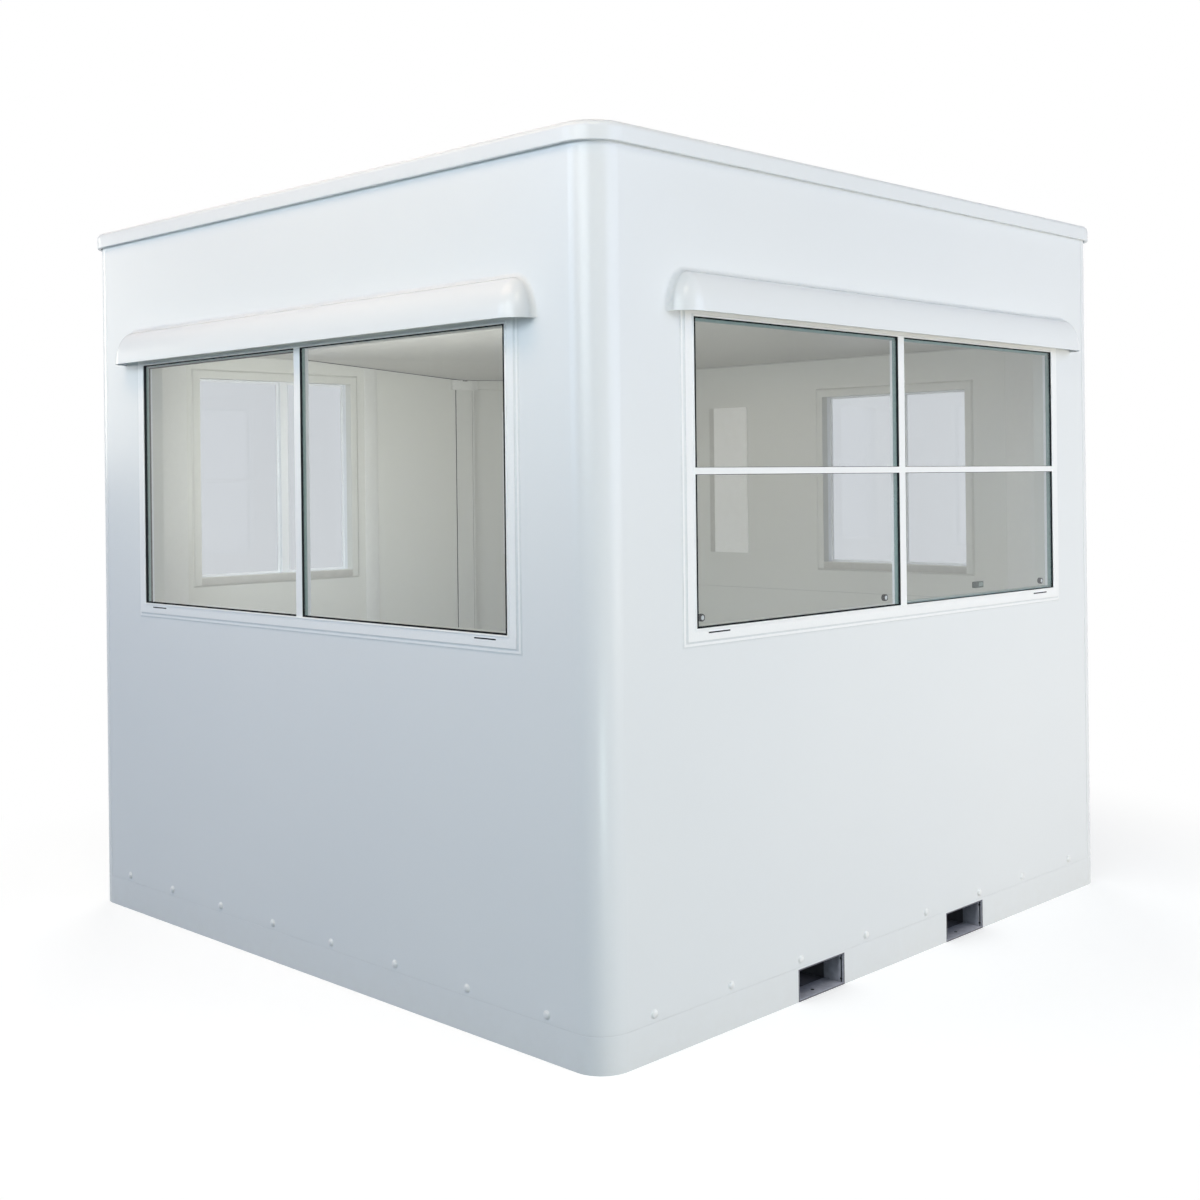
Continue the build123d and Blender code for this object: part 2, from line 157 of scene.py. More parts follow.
gelcoat = {
    "colour": "e9edef",  # white gelcoat
    "shade": "e3e8ec", "drift": 900,  # where the coat is a little thinner, mm from patch to patch
    "inside": "dcddd6", "behind": 64,  # flow-coated inner face, off-white, mm behind the outer one
    # ground dust in the lowest 150 mm, in spots of about 35 mm
    "splash": "dcdedd", "splashHigh": 150, "splashShare": 0.55, "splashGrain": 35,
    "roughness": 0.26,
    "roofRoughness": 0.62, "roofFrom": 2503, "roofOver": 6,  # mm; the roof's top is left textured
    "wave": 520, "waveHeight": 0.35,  # mm, slow waviness of a large moulded panel
    "peel": 9, "peelHeight": 0.012,  # mm, fibre print-through; the real 3 mm is too fine to show
}


def makeGelcoatGrp():
    # moulded GRP with a polished gelcoat: an even white with a soft sheen and slow waves, and
    # a textured roof that does not mirror the lamps
    g = gelcoat
    material, tree, shader, _ = startMaterial("gelcoat_grp_moulded", {"IOR": 1.52})
    place = addNode(tree, "ShaderNodeNewGeometry").outputs["Position"]
    height = addNode(tree, "ShaderNodeSeparateXYZ", {}, {"Vector": place}).outputs["Z"]
    drift = addNode(
        tree, "ShaderNodeTexNoise", {"Scale": 1000 / g["drift"], "Detail": 2.0}, {"Vector": place}
    )
    tone = addNode(
        tree, "ShaderNodeMix",
        {"data_type": "RGBA", 6: hexToLinear(g["colour"]), 7: hexToLinear(g["shade"])},
        {0: drift.outputs["Fac"]},
    )
    low = addNode(
        tree, "ShaderNodeMapRange",
        {"From Max": g["splashHigh"] * mm, "To Min": g["splashShare"], "To Max": 0.0},
        {"Value": height},
    )
    dust = addNode(
        tree, "ShaderNodeTexNoise", {"Scale": 1000 / g["splashGrain"], "Detail": 5.0}, {"Vector": place}
    )
    speck = addNode(
        tree, "ShaderNodeMath", {"operation": "MULTIPLY"}, {0: low.outputs["Result"], 1: dust.outputs["Fac"]}
    )
    dusty = addNode(
        tree, "ShaderNodeMix", {"data_type": "RGBA", 7: hexToLinear(g["splash"])},
        {0: speck.outputs[0], 6: tone.outputs[2]},
    )
    colour = insideTone(tree, place, dusty.outputs[2], g["inside"], g["behind"] * mm)
    connect(tree, colour, shader.inputs["Base Color"])
    textured = addNode(
        tree, "ShaderNodeMapRange",
        {
            "From Min": g["roofFrom"] * mm, "From Max": (g["roofFrom"] + g["roofOver"]) * mm,
            "To Min": g["roughness"], "To Max": g["roofRoughness"],
        },
        {"Value": height},
    )
    connect(tree, textured.outputs["Result"], shader.inputs["Roughness"])
    wave = addNode(
        tree, "ShaderNodeTexNoise", {"Scale": 1000 / g["wave"], "Detail": 1.0}, {"Vector": place}
    )
    waveBump = addNode(
        tree, "ShaderNodeBump", {"Strength": 1.0, "Distance": g["waveHeight"] * mm},
        {"Height": wave.outputs["Fac"]},
    )
    peel = addNode(
        tree, "ShaderNodeTexNoise", {"Scale": 1000 / g["peel"], "Detail": 2.0}, {"Vector": place}
    )
    peelBump = addNode(
        tree, "ShaderNodeBump", {"Strength": 1.0, "Distance": g["peelHeight"] * mm},
        {"Height": peel.outputs["Fac"], "Normal": waveBump.outputs["Normal"]},
    )
    connect(tree, peelBump.outputs["Normal"], shader.inputs["Normal"])
    return material


# Coated, moulded, extruded and pressed surfaces: two close tones in a cloudy grain. Grain and
# height are in mm; coatings and skins have a real grain of 1 to 2 mm, which would not show, so
# theirs is drawn coarser. "inside" is the tone from "behind" mm behind the wall faces.
surfaces = {
    # powder-coated aluminium: a hard even white with a very slight orange peel
    "windowFrame": {
        "name": "aluminium_powder_coated", "colour": "f6f8f9", "second": "f1f4f6", "roughness": 0.34,
        "grain": 6, "height": 0.02, "inside": "dcddd6", "behind": 30,
    },
    "smallFrame": {
        "name": "aluminium_powder_coated_small", "colour": "f6f8f9", "second": "f1f4f6",
        "roughness": 0.34, "grain": 6, "height": 0.02, "inside": "dcddd6", "behind": 34,
    },
    "doorCoat": {
        "name": "steel_powder_coated", "colour": "f0f2f3", "second": "eaedef", "roughness": 0.36,
        "grain": 6, "height": 0.02, "inside": "d8d9d3", "behind": 46,
    },
    # moulded polyethylene: a soft white that dulls a little in the weather
    "capPlastic": {
        "name": "polyethylene_cap_moulded", "colour": "eef0f1", "second": "e6e9ea", "roughness": 0.42,
        "grain": 5, "height": 0.01,
    },
    # co-extruded PVC bead: whiter and smoother than the frame it lies on
    "bead": {
        "name": "pvc_bead_extruded", "colour": "f8fafb", "second": "f3f6f8", "roughness": 0.3,
        "grain": 8, "height": 0.01, "ior": 1.53,
    },
    # EPDM glazing rubber, extruded: near black and dull, its bloom taking most of the sheen
    "rubber": {
        "name": "epdm_rubber_extruded", "colour": "0d1114", "second": "161b1e", "roughness": 0.75,
        "grain": 4, "height": 0.03, "ior": 1.52, "sheen": 0.15,
    },
    # sea-green extruded edge seal behind the glass, with a soft satin skin
    "edgeSeal": {
        "name": "pvc_seal_extruded_green", "colour": "6f9794", "second": "83a8a4", "roughness": 0.35,
        "grain": 8, "height": 0.02, "ior": 1.53,
    },
    # neutral-cure silicone, tooled: mid grey with a smooth wet-looking skin
    "sealant": {
        "name": "silicone_sealant_tooled", "colour": "8e9296", "second": "7f8387", "roughness": 0.4,
        "grain": 12, "height": 0.05, "ior": 1.41,
    },
    # acrylic sealant inside the room: matt, a shade under the wall
    "roomSealant": {
        "name": "acrylic_sealant_matt", "colour": "c6c7c2", "second": "bdbeb9", "roughness": 0.6,
        "grain": 12, "height": 0.05,
    },
    # white silicone cove: follows the panels; its tone, a shade under the gelcoat, is partly painted shade
    # that tones down the lamps' bright line along the canopy tops
    "whiteSealant": {
        "name": "silicone_sealant_white", "colour": "e5e9eb", "second": "dfe4e7", "roughness": 0.6,
        "grain": 12, "height": 0.04, "ior": 1.41,
    },
    # sheet vinyl floor: grey with a fine fleck
    "vinyl": {
        "name": "vinyl_floor_sheet", "colour": "8d8b85", "second": "757470", "roughness": 0.5,
        "grain": 7, "height": 0.03, "detail": 6.0, "spread": 2.2,
    },
    # melamine-faced board: flat off-white with a faint press texture
    "ceilingBoard": {
        "name": "melamine_board_pressed", "colour": "d8d7d0", "second": "d2d1ca", "roughness": 0.45,
        "grain": 30, "height": 0.02,
    },
    "plateBoard": {
        "name": "melamine_plate_pressed", "colour": "fafaf6", "second": "f4f4ef", "roughness": 0.4,
        "grain": 30, "height": 0.02,
    },
    # PVC trim boards over the panel joints: a shade lighter than the wall
    "trimBoard": {
        "name": "pvc_trim_board", "colour": "e2e3de", "second": "dddeda", "roughness": 0.4,
        "grain": 20, "height": 0.02, "ior": 1.53,
    },
    # painted shade: the same board made darker, standing in for the shade beside the cover plate and under
    # the small windows' openings
    "shadeBoard": {
        "name": "melamine_board_painted_shade", "colour": "c9c8c1", "second": "bfbeb7", "roughness": 0.5,
        "grain": 30, "height": 0.02,
    },
    # mill-finish aluminium, extruded: bright, slightly streaked
    "millAluminium": {
        "name": "aluminium_mill_extruded", "colour": "c4c6c8", "second": "b4b7ba", "roughness": 0.35,
        "grain": 3, "height": 0.01, "metallic": 1.0,
    },
    # die-cast zinc catch under a dark green enamel, and its paler thumb pad
    "latch": {
        "name": "zinc_latch_enamelled", "colour": "34493f", "second": "2b3d35", "roughness": 0.4,
        "grain": 4, "height": 0.02,
    },
    "latchPad": {
        "name": "nylon_pad_moulded", "colour": "93a399", "second": "85958b", "roughness": 0.45,
        "grain": 4, "height": 0.02, "ior": 1.53,
    },
    # sealant in the skirt joint: matt and a shade greyer than the panels
    "skirtSealant": {
        "name": "silicone_sealant_pale_grey", "colour": "dde1e4", "second": "d7dbde", "roughness": 0.6,
        "grain": 30, "height": 0.05, "ior": 1.41,
    },
    # zinc-rich primer in the fork pockets: flat dark grey with a cold cast, a little cloudy
    "pocketSteel": {
        "name": "steel_zinc_primed", "colour": "5a5b63", "second": "4b4c54", "roughness": 0.6,
        "grain": 25, "height": 0.05, "ior": 1.5,
    },
    # pale sheets at the pockets' mouths, painted light: a cold light grey standing in for the light that
    # reaches just inside, against the darker pocket steel; a little cloudy
    "mouthLightSheet": {
        "name": "steel_sheet_painted_light", "colour": "bcbec8", "second": "a9abb6", "roughness": 0.5,
        "grain": 18, "height": 0.04, "ior": 1.5, "spread": 1.6,
    },
    # black-oxide screws: a dull dark steel
    "darkSteel": {
        "name": "steel_black_oxide", "colour": "3c3e40", "second": "2e3032", "roughness": 0.5,
        "grain": 3, "height": 0.01, "metallic": 1.0,
    },
}


def makeSurface(look):
    metallic = look.get("metallic", 0.0)
    settings = {"Roughness": look["roughness"], "Metallic": metallic}
    if metallic == 0.0:
        settings["IOR"] = look.get("ior", 1.5)
        settings["Specular IOR Level"] = look.get("sheen", 0.5)
    material, tree, shader, _ = startMaterial(look["name"], settings)
    place = addNode(tree, "ShaderNodeNewGeometry").outputs["Position"]
    cloud = addNode(
        tree, "ShaderNodeTexNoise", {"Scale": 1000 / look["grain"], "Detail": look.get("detail", 3.0)},
        {"Vector": place},
    )
    reach = 0.25 / look.get("spread", 1.0)
    wider = addNode(
        tree, "ShaderNodeMapRange", {"From Min": 0.5 - reach, "From Max": 0.5 + reach},
        {"Value": cloud.outputs["Fac"]},
    )
    tone = addNode(
        tree, "ShaderNodeMix",
        {"data_type": "RGBA", 6: hexToLinear(look["colour"]), 7: hexToLinear(look["second"])},
        {0: wider.outputs["Result"]},
    ).outputs[2]
    if "inside" in look:
        tone = insideTone(tree, place, tone, look["inside"], look["behind"] * mm)
    connect(tree, tone, shader.inputs["Base Color"])
    rough = addNode(
        tree, "ShaderNodeMapRange", {"To Min": look["roughness"] * 0.9, "To Max": look["roughness"] * 1.12},
        {"Value": cloud.outputs["Fac"]},
    )
    connect(tree, rough.outputs["Result"], shader.inputs["Roughness"])
    bump = addNode(
        tree, "ShaderNodeBump", {"Strength": 1.0, "Distance": look["height"] * mm},
        {"Height": cloud.outputs["Fac"]},
    )
    connect(tree, bump.outputs["Normal"], shader.inputs["Normal"])
    return material


floatGlass = {
    "colour": "e2e5e8", "shadow": "eceff1", "ior": 1.52,
    "roll": 600, "rollHeight": 0.04,  # mm, the slow unevenness of a large sheet
}


def makeFloatGlass():
    # clear float glass: flat and bright, a faint cool body, lets the lamps light the room
    g = floatGlass
    material, tree, shader, output = startMaterial(
        "float_glass_clear",
        {
            "Base Color": hexToLinear(g["colour"]), "IOR": g["ior"], "Roughness": 0.0,
            "Transmission Weight": 1.0,
        },
    )
    place = addNode(tree, "ShaderNodeNewGeometry").outputs["Position"]
    roll = addNode(
        tree, "ShaderNodeTexNoise", {"Scale": 1000 / g["roll"], "Detail": 0.0}, {"Vector": place}
    )
    bump = addNode(
        tree, "ShaderNodeBump", {"Strength": 1.0, "Distance": g["rollHeight"] * mm},
        {"Height": roll.outputs["Fac"]},
    )
    connect(tree, bump.outputs["Normal"], shader.inputs["Normal"])
    path = addNode(tree, "ShaderNodeLightPath")
    passes = addNode(
        tree, "ShaderNodeMath", {"operation": "MAXIMUM"},
        {0: path.outputs["Is Shadow Ray"], 1: path.outputs["Is Diffuse Ray"]},
    )
    clear = addNode(tree, "ShaderNodeBsdfTransparent", {"Color": hexToLinear(g["shadow"])})
    mix = addNode(
        tree, "ShaderNodeMixShader", {},
        {0: passes.outputs[0], 1: shader.outputs["BSDF"], 2: clear.outputs["BSDF"]},
    )
    connect(tree, mix.outputs[0], output.inputs["Surface"])
    return material


galvanised = {"colour": "b6bcc0", "bright": "d2d6d8", "spangle": 14, "roughness": 0.48}  # mm


def makeGalvanisedSteel():
    # hot-dip galvanised steel: dull grey zinc with leafy spangles about 14 mm across
    g = galvanised
    material, tree, shader, _ = startMaterial("galvanised_steel_hot_dip", {"Metallic": 1.0})
    place = addNode(tree, "ShaderNodeNewGeometry").outputs["Position"]
    leaf = addNode(tree, "ShaderNodeTexVoronoi", {"Scale": 1000 / g["spangle"]}, {"Vector": place})
    grey = addNode(tree, "ShaderNodeSeparateColor", {}, {"Color": leaf.outputs["Color"]})
    tone = addNode(
        tree, "ShaderNodeMix",
        {"data_type": "RGBA", 6: hexToLinear(g["colour"]), 7: hexToLinear(g["bright"])},
        {0: grey.outputs["Red"]},
    )
    connect(tree, tone.outputs[2], shader.inputs["Base Color"])
    rough = addNode(
        tree, "ShaderNodeMapRange", {"To Min": g["roughness"] - 0.08, "To Max": g["roughness"] + 0.1},
        {"Value": grey.outputs["Green"]},
    )
    connect(tree, rough.outputs["Result"], shader.inputs["Roughness"])
    return material


satinSteel = {
    "colour": "b9bbbc", "roughness": 0.3,
    "line": 0.8, "lineHeight": 0.01, "drawn": 0.04,  # mm, and how far the lines are drawn out
}


def makeSatinSteel():
    # brushed stainless steel: fine lines along the length, which draw highlights out
    g = satinSteel
    material, tree, shader, _ = startMaterial(
        "stainless_steel_brushed", {"Metallic": 1.0, "Base Color": hexToLinear(g["colour"])}
    )
    place = addNode(tree, "ShaderNodeNewGeometry").outputs["Position"]
    drawn = addNode(tree, "ShaderNodeMapping", {"Scale": (1.0, g["drawn"], 1.0)}, {"Vector": place})
    line = addNode(
        tree, "ShaderNodeTexNoise", {"Scale": 1000 / g["line"], "Detail": 2.0},
        {"Vector": drawn.outputs["Vector"]},
    )
    rough = addNode(
        tree, "ShaderNodeMapRange", {"To Min": g["roughness"] - 0.06, "To Max": g["roughness"] + 0.1},
        {"Value": line.outputs["Fac"]},
    )
    connect(tree, rough.outputs["Result"], shader.inputs["Roughness"])
    bump = addNode(
        tree, "ShaderNodeBump", {"Strength": 1.0, "Distance": g["lineHeight"] * mm},
        {"Height": line.outputs["Fac"]},
    )
    connect(tree, bump.outputs["Normal"], shader.inputs["Normal"])
    return material


finishes = {name: makeSurface(look) for name, look in surfaces.items()}
finishes["gelcoat"] = makeGelcoatGrp()
finishes["glass"] = makeFloatGlass()
finishes["galvanised"] = makeGalvanisedSteel()
finishes["satinSteel"] = makeSatinSteel()
print("finishes made:", len(finishes))

nodeFinishes = {
    "gelcoat": (
        "front_wall", "right_wall", "back_wall", "left_wall", "front_right_corner", "back_right_corner",
        "back_left_corner", "front_left_corner", "base_rail_front", "base_rail_right", "base_rail_back",
        "base_rail_left", "base_corners", "roof_cap", "front_canopy", "right_canopy", "left_canopy",
        "back_canopy",
    ),
    "windowFrame": ("front_window_frame", "right_window_frame"),
    "smallFrame": ("left_window_frame", "back_window_frame"),
    "glass": (
        "front_window_glass", "right_window_glass", "left_window_glass", "back_window_glass", "door_glass",
    ),
    "doorCoat": ("door_frame", "door_leaf"),
    "millAluminium": ("door_threshold",),
    "satinSteel": ("door_hinges", "door_lever_outside", "door_lever_inside"),
    "pocketSteel": ("fork_pocket_front", "fork_pocket_rear"),
    "galvanised": ("floor_joists",),
    "vinyl": ("floor_deck",),
    "ceilingBoard": ("ceiling_panel",),
    "plateBoard": ("wall_cover_plate",),
}
for finish, nodes in nodeFinishes.items():
    for node in nodes:
        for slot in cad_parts[node].material_slots:
            slot.material = finishes[finish]
print("CAD nodes finished:", sum(len(n) for n in nodeFinishes.values()), "of", len(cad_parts))


def addPiece(name, bm, finish, smoothAngle=35):
    # turns a mesh in the making into a finished piece that goes with the booth
    bmesh.ops.recalc_face_normals(bm, faces=bm.faces)
    mesh = bpy.data.meshes.new(name)
    bm.to_mesh(mesh)
    bm.free()
    mesh.shade_smooth()
    mesh.set_sharp_from_angle(angle=math.radians(smoothAngle))
    mesh.materials.append(finishes[finish])
    piece = bpy.data.objects.new(name, mesh)
    bpy.context.scene.collection.objects.link(piece)
    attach(piece, "root")


def skinLoops(bm, loops, closed=True):
    # faces between closed loops of points, and end to end where the run itself is closed
    count = len(loops)
    around = len(loops[0])
    for i in range(count if closed else count - 1):
        here, after = loops[i], loops[(i + 1) % count]
        for k in range(around):
            m = (k + 1) % around
            bm.faces.new((here[k], here[m], after[m], after[k]))
    if not closed:
        bm.faces.new(loops[0])
        bm.faces.new(loops[-1])


def grownBox(box, grow):
    # the same rectangle on the wall, larger all round, or smaller by a minus
    return {key: [box[key][0] - grow, box[key][1] + grow] for key in ("along", "up")}


def sweepRing(bm, side, box, reach, section):
    # carries a closed section round a rectangle with mitred corners. Reach is how far inwards a
    # full share lies at the low, high, bottom and top side; the section is (share, out).
    x0, x1 = box["along"]
    z0, z1 = box["up"]
    low, high, bottom, top = reach
    skinLoops(bm, [
        [
            bm.verts.new(onWall(side, x, z, out))
            for x, z in (
                (x0 + low * share, z0 + bottom * share), (x1 - high * share, z0 + bottom * share),
                (x1 - high * share, z1 - top * share), (x0 + low * share, z1 - top * share),
            )
        ]
        for share, out in section
    ])


def turn(bm, origin, axis, profile, steps=20):
    # turns (radius, along the axis) points about an axis through a point
    axis = axis.normalized()
    across = axis.orthogonal().normalized()
    other = axis.cross(across)
    rings = []
    for radius, along in profile:
        middle = origin + axis * along
        if radius == 0:
            rings.append([bm.verts.new(middle)])
        else:
            rings.append([
                bm.verts.new(middle + (across * math.cos(a) + other * math.sin(a)) * radius)
                for a in (2 * math.pi * k / steps for k in range(steps))
            ])
    for lower, upper in zip(rings, rings[1:]):
        for k in range(steps):
            m = (k + 1) % steps
            if len(upper) == 1:
                bm.faces.new((lower[k], lower[m], upper[0]))
            elif len(lower) == 1:
                bm.faces.new((lower[0], upper[m], upper[k]))
            else:
                bm.faces.new((lower[k], lower[m], upper[m], upper[k]))
    for end in (rings[0], rings[-1]):
        if len(end) > 1:
            bm.faces.new(end)


def domeProfile(radius, rise, flange, thick):
    # a low dome on a thin round flange, from its rim to its top
    rim = [(flange, 0), (flange, thick * 0.6), (flange - thick * 0.4, thick)]
    angles = [math.radians(d) for d in range(0, 90, 15)]
    dome = [(radius * math.cos(a), thick + rise * math.sin(a)) for a in angles]
    return rim + dome + [(0, thick + rise)]


def easedBlock(bm, side, along, up, out, edge):
    # a block between two measures each way on a wall, its edges eased
    made = bmesh.new()
    bmesh.ops.create_cube(made, size=1.0)
    for v in made.verts:
        v.co = Vector((
            along[0] + (v.co.x + 0.5) * (along[1] - along[0]),
            up[0] + (v.co.y + 0.5) * (up[1] - up[0]),
            out[0] + (v.co.z + 0.5) * (out[1] - out[0]),
        ))
    bmesh.ops.bevel(made, geom=made.edges[:], offset=edge, segments=2, affect="EDGES", profile=0.5)
    placed = {v: bm.verts.new(onWall(side, v.co.x, v.co.y, v.co.z)) for v in made.verts}
    for face in made.faces:
        bm.faces.new([placed[v] for v in face.verts])
    made.free()


boltCaps = {
    # over the bolts that hold the walls to the base, mm from the corner between the front and
    # right walls; the back and left walls mirror them
    "front": (212, 545, 878, 1204, 1529, 1846, 2165, 2466),
    "right": (197, 515, 834, 1167, 1505, 1831, 2121, 2456),
    "height": 126 * mm,
    "radius": 11 * mm, "rise": 5 * mm, "flange": 13 * mm, "thick": 1.5 * mm,
}


def makeBoltCaps():
    # low moulded domes, each on a thin flange
    c = boltCaps
    profile = domeProfile(c["radius"], c["rise"], c["flange"], c["thick"])
    for side, row, end, way in (
        ("front", c["front"], walls["right"]["face"], 1), ("right", c["right"], walls["front"]["face"], -1),
        ("back", c["front"], walls["right"]["face"], -1), ("left", c["right"], walls["front"]["face"], 1),
    ):
        bm = bmesh.new()
        for place in row:
            turn(bm, onWall(side, way * (end - place * mm), c["height"]), walls[side]["out"], profile)
        addPiece(side + "_bolt_caps", bm, "capPlastic")


makeBoltCaps()
print("bolt caps made")

glazing = {
    # black rubber outside each sheet, mm inwards at its low, high, bottom and top side; the
    # sheets run from the lowest row up and from low to high along the wall
    "rubber": {
        "front": [(12, 0.8, 5.5, 3.5), (7.5, 12, 5.5, 3.5)],
        "right": [(12, 8.5, 5, 1.5), (0.8, 7.3, 2.5, 1.5), (12, 8.5, 1.5, 4), (0.8, 7.3, 1.5, 4)],
        "left": [(4, 4, 4, 4), (4, 4, 4, 4)], "back": [(4, 4, 4, 4), (4, 4, 4, 4)],
    },
    # sea-green seal behind the sheets of the large windows, deep at the head
    "seal": {
        "front": [(1.5, 1.5, 1.5, 7.5), (1.5, 1.5, 1.5, 3)],
        "right": [(1.5, 1.5, 1.5, 1.5), (1.5, 1.5, 5.5, 1.5), (1.5, 1.5, 1.5, 11), (1.5, 1.5, 1.5, 11)],
    },
    "sealDepth": {"front": 13 * mm, "right": 16 * mm},
    "bead": 3.4 * mm,  # radius of the rounded white bead round each opening
    # outside, the frame's flange ends in a rim and then a lower step; sealant rounds off both
    "flange": 35 * mm, "step": 13 * mm, "stepOut": 3 * mm, "fillet": 6 * mm,
}


def makeEdgeFillet(side, opening, flange):
    # white sealant round the frame's two outer edges
    g = glazing
    bm = bmesh.new()
    for grow, low, high in (
        (g["flange"], g["stepOut"], flange), (g["flange"] + g["step"], 0, g["stepOut"]),
    ):
        sweepRing(bm, side, grownBox(opening, grow), [g["fillet"]] * 4, [
            (0.1, low), (0.1, high - 0.4 * mm), (0, high - 0.4 * mm),
            (-0.35, low + 0.35 * (high - low)), (-1, low),
        ])
    addPiece(side + "_window_edge_fillet", bm, "whiteSealant")


def makeGlazing(side):
    # rubber outside each sheet and a rounded bead round the opening
    g = glazing
    panes = solidsOf(side, side + "_window_glass")
    flange = wallBox(side, side + "_window_frame")["out"][1]
    opening = {
        key: [min(p[key][0] for p in panes), max(p[key][1] for p in panes)] for key in ("along", "up")
    }
    makeEdgeFillet(side, opening, flange)
    rubber, bead = bmesh.new(), bmesh.new()
    for pane, reach in zip(panes, g["rubber"][side]):
        front = pane["out"][1]
        sweepRing(rubber, side, pane, [r * mm for r in reach], [
            (0, front), (1, front), (1, front + 0.5 * mm), (0.5, front + 1.9 * mm), (0, flange - 0.4 * mm),
        ])
    angles = [math.radians(d) for d in range(0, 181, 20)]
    sweepRing(bead, side, opening, [g["bead"]] * 4, [
        (-(1 - math.cos(a)), flange + g["bead"] * math.sin(a) - 0.2 * mm) for a in angles
    ])
    addPiece(side + "_window_gasket", rubber, "rubber" if side in g["seal"] else "sealant")
    addPiece(side + "_window_bead", bead, "bead")
    return panes, opening, flange


windows = {side: makeGlazing(side) for side in walls}

sashes = {
    "rib": (9 * mm, 10.6 * mm),  # of the right window's track, above the far sill
    # dark line behind the front window's sliding sash, mm inwards, deep at the head
    "line": (1.6, 1.6, 1.6, 11), "lineDepth": 6 * mm,
}


def makeEdgeSeal(side):
    # seal round the back of each sheet, with the thin rib of the sash track in the right window
    panes = windows[side][0]
    seal = bmesh.new()
    for pane, reach in zip(panes, glazing["seal"][side]):
        start = pane["out"][0] - 0.3 * mm
        end = start - glazing["sealDepth"][side]
        sweepRing(seal, side, pane, [r * mm for r in reach], [
            (0, start), (0.9, start), (1, start - 1 * mm), (1, end + 1 * mm), (0.9, end), (0, end),
        ])
    if side == "right":
        sheet = panes[1]
        easedBlock(
            seal, side, (sheet["along"][0] + 2 * mm, sheet["along"][1] - 2 * mm),
            [sheet["up"][0] + rise for rise in sashes["rib"]],
            (sheet["out"][0] - 4 * mm, sheet["out"][0] - 1 * mm), 0.3 * mm,
        )
    addPiece(side + "_window_edge_seal", seal, "edgeSeal")


def makeSashGasket():
    # dark rubber line that shows where the front window's near sheet slides
    sheet = windows["front"][0][0]
    start = sheet["out"][0] - 0.6 * mm - glazing["sealDepth"]["front"]
    end = start - sashes["lineDepth"]
    line = bmesh.new()
    sweepRing(line, "front", sheet, [r * mm for r in sashes["line"]], [
        (0, start), (1, start), (1, end), (0, end),
    ])
    addPiece("front_sash_gasket", line, "rubber")


innerTrim = {
    "flange": 30 * mm, "fillet": 7 * mm,  # inner flange, and the fillet from its rim to the wall
    "board": 1.5 * mm,  # board under the opening, made darker as painted shade
    "bead": 8 * mm,  # square bead that holds the glass
}


def makeInnerTrim(side):
    # inside a small window: beads that hold the glass, a fillet, and under the opening a darker board as
    # painted shade
    t = innerTrim
    panes, opening, _ = windows[side]
    face = wallBox(side, side + "_window_frame")["out"][0]
    wall = walls[side]["inner"]
    fillet, board, bead = bmesh.new(), bmesh.new(), bmesh.new()
    sweepRing(fillet, side, grownBox(opening, t["flange"]), [t["fillet"]] * 4, [
        (0.1, face), (0, face), (-1, wall), (0.1, wall),
    ])
    # darker board under the opening: painted shade for the sill lying in shade
    easedBlock(
        board, side, opening["along"], (opening["up"][0] - t["flange"], opening["up"][0] - 2 * mm),
        (face - t["board"], face), 0.5 * mm,
    )
    for pane in panes:
        start = pane["out"][0] - 0.3 * mm
        end = start - t["bead"]
        sweepRing(bead, side, pane, [t["bead"]] * 4, [
            (0, start), (0.9, start), (1, start - 1 * mm), (1, end), (0, end),
        ])
    addPiece(side + "_window_inner_sealant", fillet, "smallFrame")
    addPiece(side + "_window_sill_painted_shade", board, "shadeBoard")
    addPiece(side + "_window_inner_bead", bead, "bead")


makeEdgeSeal("front")
makeSashGasket()
makeEdgeSeal("right")
for side in ("left", "back"):
    makeInnerTrim(side)
print("glazing made:", {side: len(w[0]) for side, w in windows.items()})

weepSlots = {
    "length": 92 * mm, "end": 50 * mm, "smallLength": 60 * mm, "smallEnd": 40 * mm,
    "height": 4.2 * mm, "below": 14 * mm,  # under the opening
    "hood": 2.0 * mm, "hoodHigh": 1.6 * mm, "hoodPast": 3 * mm,
}


def makeWeepSlots(side):
    # drain slots in the bottom rail, one near each end, each under a thin pressed hood
    _, opening, flange = windows[side]
    s = weepSlots
    large = side in glazing["seal"]
    length, end = (s["length"], s["end"]) if large else (s["smallLength"], s["smallEnd"])
    middle = opening["up"][0] - s["below"]
    top = middle + s["height"] / 2
    slot, hood = bmesh.new(), bmesh.new()
    for start in (opening["along"][0] + end, opening["along"][1] - end - length):
        easedBlock(
            slot, side, (start, start + length), (middle - s["height"] / 2, top),
            (flange - 1 * mm, flange + 0.25 * mm), 0.2 * mm,
        )
        easedBlock(
            hood, side, (start - s["hoodPast"], start + length + s["hoodPast"]), (top, top + s["hoodHigh"]),
            (flange - 0.5 * mm, flange + s["hood"]), 0.6 * mm,
        )
    addPiece(side + "_weep_slots", slot, "rubber")
    addPiece(side + "_weep_hoods", hood, "bead")


for side in walls:
    makeWeepSlots(side)

sashButtons = {
    "radius": 11 * mm, "depth": 14 * mm, "face": 6.4 * mm,
    "nearEnd": 34 * mm, "farEnd": 71 * mm, "aboveSill": 28 * mm,
}


